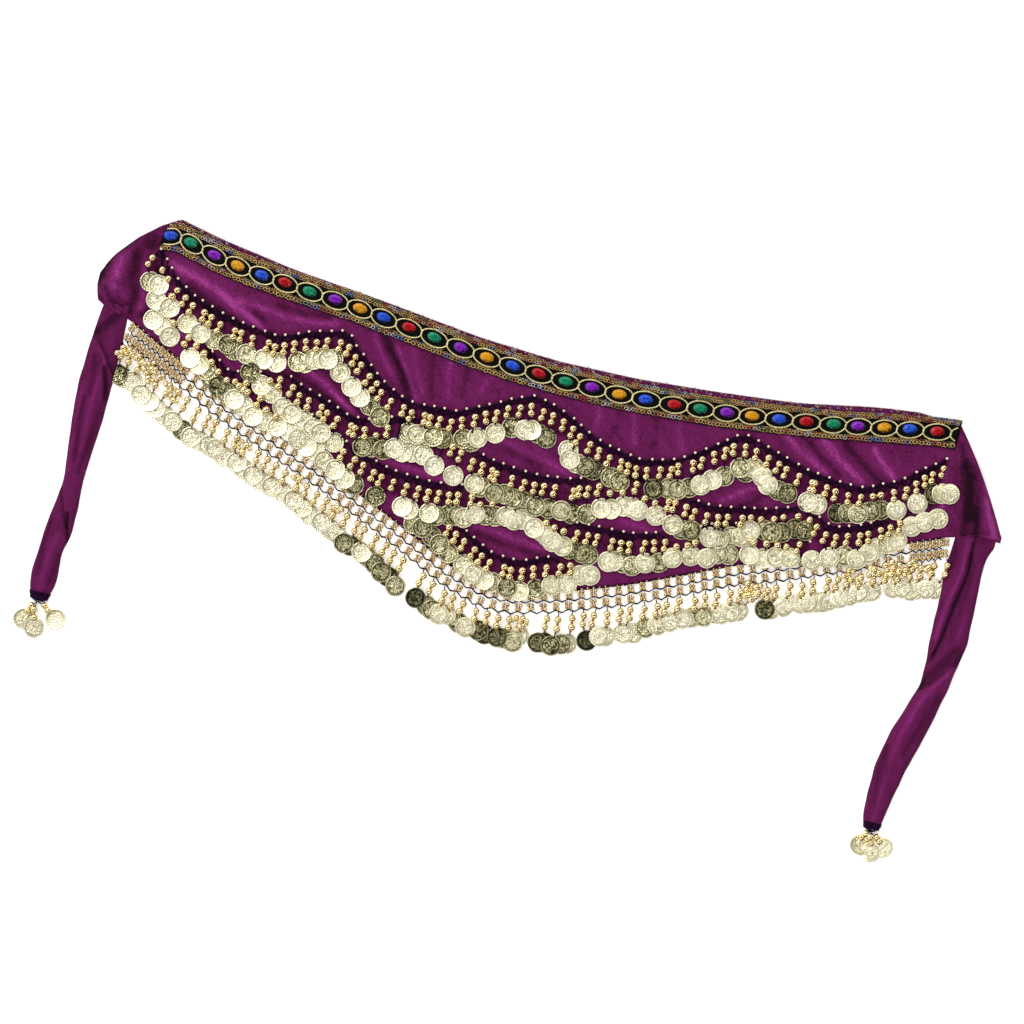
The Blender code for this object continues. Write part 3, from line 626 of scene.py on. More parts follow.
def lap_height(x, y, laps):
    """A step up along each route, on its left side as it runs, and the painted shade at the step's foot with a painted
    highlight along its edge.
    """
    total, shade = np.zeros_like(x), np.zeros_like(x)
    for lap in laps:
        nearest, side = np.full_like(x, 1e9), np.zeros_like(x)
        for (x0, y0), (x1, y1) in zip(lap.route, lap.route[1:]):
            run_x, run_y = x1 - x0, y1 - y0
            length = math.hypot(run_x, run_y)
            share = np.clip(((x - x0) * run_x + (y - y0) * run_y) / length**2, 0, 1)
            away = np.hypot(x - x0 - share * run_x, y - y0 - share * run_y)
            signed = ((y - y0) * run_x - (x - x0) * run_y) / length
            side = np.where(away < nearest, signed, side)
            nearest = np.minimum(nearest, away)
        step = 1 / (1 + np.exp(-np.clip(side, -20, 20) / 0.4))
        total += lap.rise * step * np.exp(-((nearest / lap.reach) ** 2))
        foot = np.exp(-((np.minimum(side + 0.6, 0.0) / lap.reach * 2.2) ** 2)) * (nearest < lap.reach)
        # Painted shade at the step's foot, and a painted highlight along its edge.
        shade += -0.42 * (1 - step) * foot + 0.16 * step * np.exp(-((side / 1.6) ** 2)) * (nearest < lap.reach)
    return total, shade


def tie_cloth(name, node, sections, creases, laps, seed):
    """One gathered tie as a closed sheet, from the turned end to its bound tip."""
    work = cloth_grid(40, 190)
    share_x = np.array([vert.co.x for vert in work.verts])
    share_y = np.array([vert.co.y for vert in work.verts])
    ys = [section.y for section in sections]
    y = ys[0] + share_y * (ys[-1] - ys[0])
    lefts, rights, crowns = (
        np.mean([np.interp(-y + blur, [-one for one in ys], [section[k] for section in sections])
                 for blur in np.linspace(-7, 7, 7)], axis=0)
        for k in (1, 2, 3)
    )
    x = lefts + share_x * (rights - lefts) + 0.5 * ripple(y, y * 0, 17, seed)
    round_over = np.sqrt(np.clip(1 - (2 * share_x - 1) ** 2, 0, 1)) ** 0.75
    steps, shade = lap_height(x, y, laps)
    fine = crease_height(x, y, creases)
    uneven = 0.35 * ripple(x, y * 0.35, 7, seed)
    top = 0.5 + np.maximum(crowns + fine + steps + uneven, 1.0) * round_over
    top = np.minimum(top, np.interp(ys[0] - y, [0, 8, 20, 60], [1.0, 1.6, 4.2, 20.0]))
    under = np.full_like(top, 0.1) + 0.3 * (1 - round_over)
    # Painted light and shade: light on crease crowns and shade in troughs, the laps' painted shade and highlight, and
    # painted shade on the roll's sides where it turns down.
    painted_shading = 0.42 * np.tanh(0.36 * fine) + 0.8 * shade + 0.10 * uneven - 0.06 - 0.16 * (1 - round_over)
    made = sew_sheet(name, work, x, y, top, under, painted_shading, tie_velvet)
    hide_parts(node)


tie_cloth("left_tie_cloth", "left_tie", LEFT_TIE, LEFT_TIE_CREASES, LEFT_LAPS, 2.0)
tie_cloth("right_tie_cloth", "right_tie", RIGHT_TIE, RIGHT_TIE_CREASES, RIGHT_LAPS, 5.0)

# %% [markdown]
# Everything that is repeated is made once with mesh operators and then copied into one joined mesh. A copy keeps its
# own small difference, such as how worn a coin is, as a number on its points that the material reads.

# %% Copies
random.seed(7)


def pattern_mesh(name, work):
    mesh = bpy.data.meshes.new(name)
    work.to_mesh(mesh)
    work.free()
    return mesh


def copies(name, pattern, places, materials, tones=None, smooth=True):
    """One mesh of many copies of a pattern, each at its own place and with its own tone."""
    work = bmesh.new()
    for place in places:
        start = len(work.verts)
        work.from_mesh(pattern)
        work.verts.ensure_lookup_table()
        bmesh.ops.transform(work, matrix=place, verts=work.verts[start:])
    made = finished(name, work, *materials, smooth=smooth)
    attribute = made.data.attributes.new("tone", "FLOAT", "POINT")
    tones = [0.5] * len(places) if tones is None else tones
    attribute.data.foreach_set("value", np.repeat(np.array(tones, np.float32), len(pattern.vertices)))
    return made


def at(x, y, z, turn=0.0, tilt=0.0, lean=0.0, size=1.0):
    """A copy's place: turned about its own middle, then tilted about its own X, leaned about its own Y."""
    spin = Matrix.Rotation(turn, 4, "Z") @ Matrix.Rotation(lean, 4, "Y") @ Matrix.Rotation(tilt, 4, "X")
    return Matrix.Translation(spot(x, y, z)) @ spin @ Matrix.Scale(size, 4)


def any_turn():
    """A bead's turn about its own middle, which could be any."""
    return random.uniform(0, 6)


# %% [markdown]
# The coins are thin stamped discs with a raised rim. Twenty sides are round enough at this size, and the relief is
# left to the material. The UV map holds the place on the coin's face, so each copy carries its own relief round with
# it.

# %% Coin and bead patterns
COIN_RADIUS, COIN_THICK = 10.35, 0.7
BEAD = 8.0
SEED_BEAD = 3.1


def coin_pattern():
    work = bmesh.new()
    bmesh.ops.create_circle(work, cap_ends=True, segments=20, radius=COIN_RADIUS * MM)
    face = work.faces[:][0]
    raised = bmesh.ops.extrude_face_region(work, geom=[face])
    upper = [one for one in raised["geom"] if isinstance(one, bmesh.types.BMVert)]
    bmesh.ops.translate(work, verts=upper, vec=(0, 0, COIN_THICK * MM))
    lid = [one for one in raised["geom"] if isinstance(one, bmesh.types.BMFace)]
    bmesh.ops.inset_region(work, faces=lid, thickness=0.7 * MM, depth=-0.18 * MM)
    bmesh.ops.recalc_face_normals(work, faces=work.faces)
    layer = work.loops.layers.uv.new("UVMap")
    for face in work.faces:
        for loop in face.loops:
            loop[layer].uv = loop.vert.co.xy / (2 * COIN_RADIUS * MM) + Vector((0.5, 0.5))
    return pattern_mesh("coin", work)


def bead_pattern(name, size, around, up):
    work = bmesh.new()
    bmesh.ops.create_uvsphere(work, u_segments=around, v_segments=up, radius=size / 2 * MM)
    return pattern_mesh(name, work)


COIN = coin_pattern()
ROUND_BEAD = bead_pattern("round_bead", BEAD, 10, 7)
SMALL_BEAD = bead_pattern("small_bead", SEED_BEAD, 7, 5)
print("faces of a coin, a bead and a seed bead:", [len(one.polygons) for one in (COIN, ROUND_BEAD, SMALL_BEAD)])

# %% [markdown]
# The coins are gilt over a cheap white metal: pale champagne where they are rubbed, and dull olive in the hollows of
# the relief. Their relief is a plain ornament of a bead rim, a ring and a worn scroll. How pale each coin is stands for
# its wear and, in part, for painted reflection of the bright studio, and the outermost edge and side of each coin get
# painted shade as a thin dark outline. The round beads are hollow plastic under a bright gold film, which mirrors
# everything around it, and the seed beads are a paler gold.

# %% Coin and bead metals
gilt, tree, shader = new_material("stamped_gilt_coin", Metallic=0.9, Roughness=0.33)
face_place = add_node(tree, "ShaderNodeUVMap", uv_map="UVMap").outputs["UV"]
middle = add_node(tree, "ShaderNodeVectorMath", {0: face_place, 1: (0.5, 0.5, 0.0)}, operation="SUBTRACT").outputs[0]
out = add_node(tree, "ShaderNodeVectorMath", {0: middle}, operation="LENGTH").outputs["Value"]
parts = add_node(tree, "ShaderNodeSeparateXYZ", {"Vector": middle})
angle = maths(tree, "ARCTAN2", parts.outputs["Y"], parts.outputs["X"])
coin_tone = add_node(tree, "ShaderNodeAttribute", attribute_name="tone").outputs["Fac"]
own_place = add_node(
    tree, "ShaderNodeVectorMath", {0: middle, 1: maths(tree, "MULTIPLY", coin_tone, 31.0)}, operation="ADD"
).outputs[0]
scroll = grain(tree, own_place, 4.2, 1.5, Roughness=0.5, Distortion=1.3)
tarnish = grain(tree, own_place, 3.2, 4.0, Roughness=0.72)
scrolls = maths(tree, "SINE", maths(tree, "MULTIPLY", scroll, 24.0))
face_relief = maths(tree, "MULTIPLY", scrolls, maths(tree, "LESS_THAN", out, 0.37))
ring = maths(tree, "MULTIPLY", maths(tree, "COMPARE", out, 0.395, 0.022), -1.0)
round_rim = maths(tree, "SINE", maths(tree, "MULTIPLY", angle, 24.0))
rim_beads = maths(tree, "MULTIPLY", round_rim, maths(tree, "COMPARE", out, 0.44, 0.022))
rim = maths(tree, "GREATER_THAN", out, 0.463)
relief = maths(tree, "ADD", maths(tree, "ADD", face_relief, ring), maths(tree, "MULTIPLY_ADD", rim_beads, 0.55, rim))
# The coin's tone brings its wear and, in part, painted reflection of the studio; the relief adds olive patina in its
# hollows.
wear_and_painted_light = maths(tree, "MULTIPLY_ADD", coin_tone, 0.88, maths(tree, "MULTIPLY_ADD", relief, 0.24, 0.12))
wear_and_painted_light = maths(tree, "MULTIPLY_ADD", tarnish, 0.80, maths(tree, "SUBTRACT", wear_and_painted_light, 0.31))
# Painted shade: the outermost edge and the side of each coin are darkened into a thin dark outline.
wear_and_painted_light = maths(tree, "MULTIPLY_ADD", maths(tree, "GREATER_THAN", out, 0.487), -0.42, wear_and_painted_light)
patina_and_shade_to_bright = [(0.10, "#24241A"), (0.34, "#62603F"), (0.55, "#B9B286"), (0.74, "#EDE5BC"), (1.0, "#FFF9DA")]
paint(tree, shader, ramp(tree, wear_and_painted_light, patina_and_shade_to_bright))
emboss(tree, shader, relief, 0.7, 0.2)

gold_film = flecked_material(
    "gold_film_on_plastic_bead", 420.0, 2.0, [(0.3, "#D0B87C"), (0.55, "#F0DFAE"), (0.8, "#FFF7DE")],
    Metallic=1.0, Roughness=0.12,
)
seed_gold = flecked_material(
    "gold_lined_seed_bead", 500.0, 1.0, [(0.32, "#94703A"), (0.6, "#EACF94")], Metallic=0.85, Roughness=0.24
)
pale_seed, *_ = new_material("pale_gold_seed_bead", Base_Color=linear("#F6E4CC"), Metallic=0.3, Roughness=0.25)
dark_gold, *_ = new_material("dark_gold_seed_bead", Base_Color=linear("#9A7432"), Metallic=0.8, Roughness=0.3)
print("metals:", [metal.name for metal in (gilt, gold_film, seed_gold, pale_seed, dark_gold)])

# %% [markdown]
# The beads hang on crochet cotton in a purple so dark that it looks navy. The threads are routes of points. One
# curve object holds all the routes of a piece and is turned into a mesh, with four sides, which is plenty for a
# thread of one millimetre. Its material gets the ply from a fine noise.

# %% Threads
crochet = flecked_material(
    "dark_crochet_cotton", 700.0, 2.0, [(0.35, "#130618"), (0.6, "#280F30"), (0.8, "#4A2450")], relief=(0.5, 0.2),
    Roughness=0.9, Specular_IOR_Level=0.05,
)


def threads(name, routes, thick, material, closed=False, sides=0):
    """All of a piece's threads as one mesh of thin tubes along the routes."""
    curve = bpy.data.curves.new(name, "CURVE")
    curve.dimensions = "3D"
    curve.bevel_depth = thick / 2 * MM
    curve.bevel_resolution = sides
    curve.use_fill_caps = True
    for route in routes:
        spline = curve.splines.new("POLY")
        spline.points.add(len(route) - 1)
        for point, stop in zip(spline.points, route):
            point.co = (*spot(*stop), 1.0)
        spline.use_cyclic_u = closed
    strung = bpy.data.objects.new(name, curve)
    mesh = bpy.data.meshes.new_from_object(strung)
    bpy.data.objects.remove(strung)
    work = bmesh.new()
    work.from_mesh(mesh)
    bmesh.ops.remove_doubles(work, verts=work.verts, dist=1e-6)
    bmesh.ops.recalc_face_normals(work, faces=work.faces)
    return finished(name, work, material)


print("cotton:", crochet.name)

# %% [markdown]
# Four rows of dangles are sewn across the velvet in swags. Each dangle hangs from a seed bead on the row's thread:
# two round beads and then a coin. The strands aren't straight. They bunch in twos and threes, so each row's table
# says how far its beads have slipped along the row, and a seeded random number adds a little more.

# %% Rows of beads
Row = namedtuple("Row", "slips coins")
BeadStrand = namedtuple("BeadStrand", "seed bead_one bead_two")
ROW_PITCH = 11.3
ROWS = {
    "a": Row(
        [
            (-394, -5), (-384, -4), (-376, 1), (-362, 3), (-349, 6), (-300, 5), (-262, 8), (-240, -1),
            (-208, -3), (-197, 4), (-160, 1), (-135, 2), (-112, 7), (-97, 6), (-90, -2), (-20, -1),
            (30, 3), (60, 4), (84, 6), (100, 6), (118, -3), (180, -3), (215, -1), (245, 4), (285, 7),
            (300, -2), (330, -3), (360, 2), (390, 4), (418, -3),
        ],
        [
            (-397, 21, 55), (-388, 20, 95), (-387, 4, 85), (-371, 0, 90), (-351, -10, 60), (-335, -17, 80),
            (-320, -20, 50), (-306, -21, 30), (-299, -25, 35), (-286, -26, 60), (-278, -42, 25),
            (-268, -26, 88), (-255, -27, 85), (-234, -21, 45), (-227, -20, 55), (-219, -15, 85),
            (-212, -12, 80), (-205, -11, 85), (-200, -9, 45), (-190, -20, 75), (-176, -32, 90),
            (-165, -40, 80), (-154, -45, 40), (-141, -54, 45), (-110, -62, 50), (-102, -62, 60),
            (-92, -62, 35), (-85, -60, 50), (-75, -59, 40), (-55, -54, 40), (-47, -55, 30), (-41, -50, 80),
            (-25, -41, 85), (-11, -32, 30), (2, -30, 85), (9, -29, 80), (16, -30, 30), (25, -33, 35),
            (50, -39, 92), (53, -47, 80), (61, -50, 60), (70, -51, 35), (79, -52, 22), (97, -55, 40),
            (106, -57, 45), (141, -56, 22), (155, -52, 40), (164, -51, 45), (176, -46, 32), (186, -40, 88),
            (196, -32, 92), (207, -26, 35), (220, -14, 50), (227, -17, 38), (233, -10, 60), (244, -17, 80),
            (251, -23, 88), (262, -26, 32), (272, -27, 22), (294, -30, 92), (304, -31, 88), (325, -34, 18),
            (336, -31, 32), (345, -29, 55), (357, -24, 35), (367, -20, 28), (382, -16, 90), (401, -4, 92),
            (415, 9, 8), (422, 11, 70), (429, 12, 85),
        ],
    ),
    "b": Row(
        [
            (-385, 0), (-330, 3), (-300, 2), (-250, 5), (-200, 4), (-172, 6), (-150, -4), (-128, -3),
            (-70, 2), (-50, -1), (-30, 4), (-10, -3), (10, 4), (30, -2), (58, 5), (85, -3), (122, 3),
            (160, 4), (185, -4), (200, 5), (225, -3), (255, -2), (275, -4), (300, 3), (325, -2), (360, 3),
            (400, -2), (418, 0),
        ],
        [
            (-384, -15, 85), (-374, -19, 80), (-364, -27, 90), (-339, -43, 88), (-329, -48, 80),
            (-320, -51, 40), (-314, -57, 25), (-305, -64, 20), (-296, -68, 45), (-287, -72, 85),
            (-264, -52, 80), (-252, -58, 70), (-238, -68, 80), (-227, -72, 75), (-215, -76, 80),
            (-203, -80, 88), (-195, -83, 90), (-180, -90, 78), (-151, -86, 28), (-142, -85, 30),
            (-130, -84, 35), (-119, -80, 80), (-111, -82, 65), (-101, -80, 75), (-89, -80, 92),
            (-77, -87, 88), (-55, -92, 92), (-33, -95, 70), (-27, -97, 50), (-12, -99, 50), (-2, -97, 35),
            (8, -100, 40), (17, -100, 30), (31, -102, 45), (44, -101, 30), (57, -99, 55), (68, -100, 28),
            (83, -96, 35), (95, -87, 80), (106, -86, 75), (117, -80, 88), (125, -79, 94), (132, -80, 90),
            (150, -81, 86), (169, -85, 60), (178, -88, 35), (188, -87, 32), (208, -89, 85), (217, -88, 55),
            (228, -83, 50), (238, -80, 60), (245, -73, 86), (259, -68, 38), (266, -69, 38), (276, -66, 28),
            (288, -59, 22), (298, -59, 25), (329, -79, 90), (343, -73, 55), (355, -74, 80), (366, -65, 78),
            (373, -58, 82), (381, -52, 60), (390, -45, 90), (401, -28, 90), (412, -21, 80), (424, -14, 72),
        ],
    ),
    "c": Row(
        [
            (-285, 0), (-205, 3), (-165, 2), (-140, 3), (-122, -3), (-100, 4), (-70, 5), (-45, -3), (0, 3),
            (30, 4), (60, 2), (100, 5), (129, -2), (158, 3), (200, -3), (250, 2), (306, 0),
        ],
        [
            (-276, -76, 85), (-264, -84, 82), (-251, -86, 90), (-238, -88, 78), (-225, -90, 80),
            (-215, -95, 84), (-204, -100, 78), (-195, -102, 70), (-185, -110, 60), (-172, -116, 85),
            (-160, -122, 78), (-149, -126, 28), (-126, -131, 22), (-97, -135, 95), (-90, -136, 70),
            (-70, -134, 70), (-62, -135, 40), (-51, -132, 32), (-42, -130, 35), (-35, -130, 60),
            (-25, -124, 95), (-14, -123, 40), (-5, -121, 50), (6, -119, 80), (15, -120, 78), (22, -118, 84),
            (36, -123, 94), (44, -125, 90), (50, -128, 86), (57, -132, 84), (67, -134, 60), (75, -135, 28),
            (88, -135, 28), (95, -136, 38), (115, -137, 90), (121, -136, 78), (130, -135, 40), (140, -135, 48),
            (152, -130, 80), (165, -126, 40), (177, -118, 85), (194, -112, 68), (210, -110, 70),
            (220, -103, 50), (231, -101, 48), (250, -96, 92), (265, -96, 86), (276, -91, 84), (290, -89, 90),
            (312, -86, 85),
        ],
    ),
    "d": Row(
        [(-85, 2), (-45, 3), (-20, 4), (0, 4), (20, 5), (40, -2), (60, 3), (100, 0)],
        [
            (-82, -149, 50), (-73, -150, 40), (-62, -157, 35), (-52, -162, 40), (-41, -169, 50),
            (-24, -175, 60), (-12, -183, 80), (0, -185, 70), (8, -186, 50), (24, -187, 40), (37, -188, 66),
            (52, -182, 40), (66, -174, 80), (81, -169, 85), (92, -158, 80), (102, -155, 88),
        ],
    ),
}


def strands(thread, slips, pitch, reaches):
    """The bead pairs along a thread. Each hangs down, slipped sideways, with its lower bead across the slope."""
    points = [Vector(point) for point in thread]
    runs = [(b - a).length for a, b in zip(points, points[1:])]
    ends = np.concatenate([[0.0], np.cumsum(runs)])
    count = round(ends[-1] / pitch)
    found = []
    for k in range(count + 1):
        far = k * ends[-1] / count + random.uniform(-1.2, 1.2) * (0 < k < count)
        x = float(np.interp(far, ends, [point.x for point in points]))
        y = float(np.interp(far, ends, [point.y for point in points]))
        steep = slope(thread, x, 14)
        lean = steep * (0.5 if steep < 0 else 0.2)
        slip = along(slips, x) * (0.55 + 0.45 * math.cos(2.1 * k)) + random.uniform(-1.3, 1.3)
        bead_one = Vector((x + slip, y - reaches[0] + random.uniform(-0.9, 0.9)))
        bead_two = bead_one + Vector((lean * reaches[1] + random.uniform(-1.2, 1.2), -reaches[1]))
        found.append(BeadStrand(Vector((x, y)), bead_one, bead_two))
    return found


row_strands = {name: strands(ROW_THREADS[name], row.slips, ROW_PITCH, (11.0, 7.2)) for name, row in ROWS.items()}
print("strands in each row:", {name: len(row) for name, row in row_strands.items()})

# %% [markdown]
# The coins lie over each other like scales, bunched and parted as the strands are. Each row's list gives where its
# coins have come to rest and how pale each one is in hundredths. The paler coins lie on top, as in the photograph. A
# coin is laid down as it would be by hand: it leans on the coins already under it, and its free edge goes down to
# the cloth.

# %% Coins at rest
Resting = namedtuple("Resting", "x y z tilt")
COIN_STEP = COIN_THICK + 0.15
NET_TOP = 4.0
ROW_COTTON = 1.7
laid = []


def lay_coin(x, y, base):
    """Where a coin comes to rest: the plane that best fits the coins under it and the cloth under its free side."""
    rows_of, levels, holds, floors = [], [], [], []
    for under in laid:
        gap = Vector((under.x - x, under.y - y))
        if gap.length < 1.75 * COIN_RADIUS:
            touch = gap / 2
            level = under.z + under.tilt.dot(-touch) + COIN_STEP
            rows_of.append((1.0, touch.x, touch.y))
            levels.append(level)
            holds.append((touch, level))
    loose = Vector((random.uniform(-0.05, 0.05), random.uniform(-0.05, 0.05)))
    for side in (Vector((8, 0)), Vector((-8, 0)), Vector((0, 8)), Vector((0, -8))):
        ground = max(base(x + side.x * far, y + side.y * far) for far in (0.5, 1.0, 1.25))
        if all((touch - side / 2).length > 5 for touch, _ in holds):
            rows_of.append((1.0, side.x, side.y))
            levels.append(ground)
        floors.append((side, ground))
    rows_of += [(0.0, 4.0, 0.0), (0.0, 0.0, 4.0)]
    levels += [4.0 * loose.x, 4.0 * loose.y]
    z, slope_x, slope_y = np.linalg.lstsq(np.array(rows_of), np.array(levels), rcond=None)[0]
    tilt = Vector((float(np.clip(slope_x, -0.35, 0.35)), float(np.clip(slope_y, -0.35, 0.35))))
    short = max(level - (z + tilt.dot(touch)) for touch, level in holds + floors)
    return Resting(x, y, float(z) + max(short, 0.0), tilt)


def lay_coins(coins, level, paler, palest_last):
    """Places and tones for a list of coins. The palest are laid last, as strictly as palest_last says from 0 to 1."""
    order = sorted(range(len(coins)), key=lambda k: coins[k][2] * palest_last + random.uniform(-15, 15))
    places, tones = [], []
    for k in order:
        x, y, pale = coins[k]
        x, y = x + random.uniform(-0.6, 0.6), y + random.uniform(-0.6, 0.6)
        rest = lay_coin(x, y, level)
        laid.append(rest)
        face = Vector((-rest.tilt.x, -rest.tilt.y, 1.0)).normalized()
        turned = Vector((0, 0, 1)).rotation_difference(face).to_matrix().to_4x4()
        places.append(Matrix.Translation(spot(x, y, rest.z)) @ turned @ Matrix.Rotation(random.uniform(0, 6.3), 4, "Z"))
        # A coin's tone is how pale it is: its wear, and in part painted reflection of the bright studio.
        tones.append(pale / 100 + (paler if pale > 58 else -0.04) + random.uniform(-0.06, 0.06))
    return places, tones


def near(place, others, reach):
    return any((place - other).length < reach for other in others)


def nearest_coin(place, coins):
    return min((Vector((x, y)) for x, y, _ in coins), key=lambda coin: (coin - place).length)


def covered(route, coins):
    """Whether a thread starts, runs or ends under a coin."""
    start, end = Vector(route[0][:2]), Vector(route[-1][:2])
    reach = COIN_RADIUS - 1.0
    return near((start + end) / 2, coins, reach + 0.5) or near(start, coins, reach) or near(end, coins, reach)


def under_coins(x, y):
    """What a row's coins rest on: the velvet, or the net's beads where a coin reaches below the hem."""
    velvet_top = cloth_height(x, y) + WALL + 0.5
    return max(velvet_top, NET_TOP) if y < hem(x) + 1.0 else velvet_top


bead_places, seed_places, row_routes, covering = [], [], [], []
for name in "dcba":
    coins = ROWS[name].coins
    places, tones = lay_coins(coins, under_coins, 0.07, 0.7)
    made = copies(f"coins_of_row_{name}", COIN, places, [gilt], tones)
    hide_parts(f"coin_row_{name}")
for name in "abcd":
    row, coins = row_strands[name], ROWS[name].coins
    own = [Vector(one[:2]) for one in coins]
    routes = []
    for k, strand in enumerate(row):
        cloth = cloth_height(*strand.bead_one) + WALL
        if not near(strand.seed, covering, COIN_RADIUS):
            seed_places.append(at(*strand.seed, cloth + 2.1, any_turn(), 0.5))
        coin = nearest_coin(strand.bead_two + Vector((0, -12)), coins)
        for bead in (strand.bead_one, strand.bead_two):
            if not near(bead, covering, COIN_RADIUS + 1.0) and not near(bead, own, COIN_RADIUS - 1.5):
                level = cloth + BEAD / 2 + 0.1
                bead_places.append(at(*bead, level, any_turn(), 1.2, 0, random.uniform(0.95, 1.05)))
        toward = coin - strand.bead_two
        if toward.length < 20 and not near(strand.bead_two, covering + own, COIN_RADIUS - 1.5):
            top = coin - toward.normalized() * (COIN_RADIUS - 1.6)
            row_routes.append([(*strand.bead_two, cloth + 2.6), (*top, cloth + 4.2)])
        routes.append([(*strand.seed, cloth + 1.0), (*strand.bead_one, cloth + 1.6), (*strand.bead_two, cloth + 2.6)])
        if k:
            before = row[k - 1]
            dip = (before.seed + strand.seed) / 2 + Vector((random.uniform(-1, 1), -2.6))
            routes.append([(*before.seed, cloth + 0.9), (*dip, cloth + 0.7), (*strand.seed, cloth + 0.9)])
            routes.append([(*before.seed, cloth + 0.9), (*(strand.bead_one + Vector((-1.5, 4.0))), cloth + 1.0)])
            routes.append([(*strand.seed, cloth + 0.9), (*(before.bead_one + Vector((1.5, 4.0))), cloth + 1.0)])
    row_routes += [route for route in routes if not covered(route, covering + own)]
    covering += own

row_beads = copies("round_beads_of_rows", ROUND_BEAD, bead_places, [gold_film])
row_seeds = copies("seed_beads_of_rows", SMALL_BEAD, seed_places, [pale_seed])
row_threads = threads("crochet_threads_of_rows", row_routes, ROW_COTTON, crochet)

# %% [markdown]
# The net hangs from the hem. It is two rows of small square clusters, each of four gold beads, between three dark
# threads. The threads dip into a point between the clusters, and the dangles of the hem hang from the last one. Near
# both ends of the hem the net is pushed together, so its clusters lie close.

# %% Net
NET_PITCH, NET_GAP = 12.4, 6.6
NET_LEFT, NET_RIGHT = -405.0, 440.0
PUSHED_PITCH = 6.6
NET_LEAN = 0.6
NET_BEAD = 3.9
NET_COTTON = 0.95
NET_LEVEL = 1.9
CLUSTER_HALF = 1.95
net_posts = []
x = NET_LEFT
while x < NET_RIGHT - 4:
    run = 1 / math.hypot(1.0, slope(NET_THREAD, x, NET_PITCH))
    net_posts.append(x + (NET_GAP + (NET_PITCH - NET_GAP) / 2) * run)
    x += (PUSHED_PITCH if x < -356 or x > 388 else NET_PITCH) * run
net_posts.insert(0, NET_LEFT + 1.5)


def net_spot(x, rise):
    """A place on the net, beside the middle thread: rise is how far it lies above that thread."""
    lean = NET_LEAN * slope(NET_THREAD, x, 28)
    px = x - lean * rise
    return Vector((px, hem(px) - NET_UPPER + rise))


net_beads, net_routes = [], []
for rise_top, rise_bottom in ((NET_UPPER - 1.0, 1.2), (-1.4, 1.2 - NET_LOWER)):
    for x in net_posts:
        top, bottom = net_spot(x, rise_top), net_spot(x, rise_bottom)
        down = (bottom - top).normalized()
        across = Vector((-down.y, down.x))
        middle_of = (top + bottom) / 2
        for i in (-1, 1):
            for j in (-1, 1):
                place = middle_of + across * i * CLUSTER_HALF + down * j * CLUSTER_HALF
                place += Vector((random.uniform(-0.5, 0.5), random.uniform(-0.5, 0.5)))
                net_beads.append(at(*place, NET_LEVEL + random.uniform(-0.2, 0.4), any_turn(), 0.4,
                                    size=NET_BEAD / SEED_BEAD * random.uniform(0.92, 1.08)))
        for i in (-1, 1):
            net_routes.append([(*(top + across * i * 1.2), NET_LEVEL), (*(bottom + across * i * 1.2), NET_LEVEL)])
for rise, dip in ((NET_UPPER - 0.6, 0.5), (0.0, 1.6), (0.6 - NET_LOWER, 1.9)):
    route = []
    for one, two in zip(net_posts, net_posts[1:]):
        route.append((*(net_spot(one, rise + dip * 0.6)), NET_LEVEL))
        route.append((*net_spot((one + two) / 2, rise - dip), NET_LEVEL - 0.3))
    net_routes += [route, [(x, y + random.uniform(0.3, 0.9), z + 0.4) for x, y, z in route]]
for x in np.arange(NET_LEFT, NET_RIGHT, 5.6):
    place = net_spot(x, NET_UPPER + random.uniform(-1.2, 0.4))
    net_beads.append(at(*place, NET_LEVEL + 0.6, size=random.uniform(0.6, 0.8)))
net_units = copies("bead_clusters_of_net", SMALL_BEAD, net_beads, [seed_gold])
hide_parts("hem_net")
net_threads = threads("crochet_threads_of_net", net_routes, NET_COTTON, crochet)

# %% [markdown]
# The dangles of the hem are closer to the eye than the rows, because white shows between them: a round bead, a small
# dark one, a second round bead and a coin. There are short breaks where the coins part. In a few places strands have
# tangled into a clump of beads, which is part of how such a scarf looks.

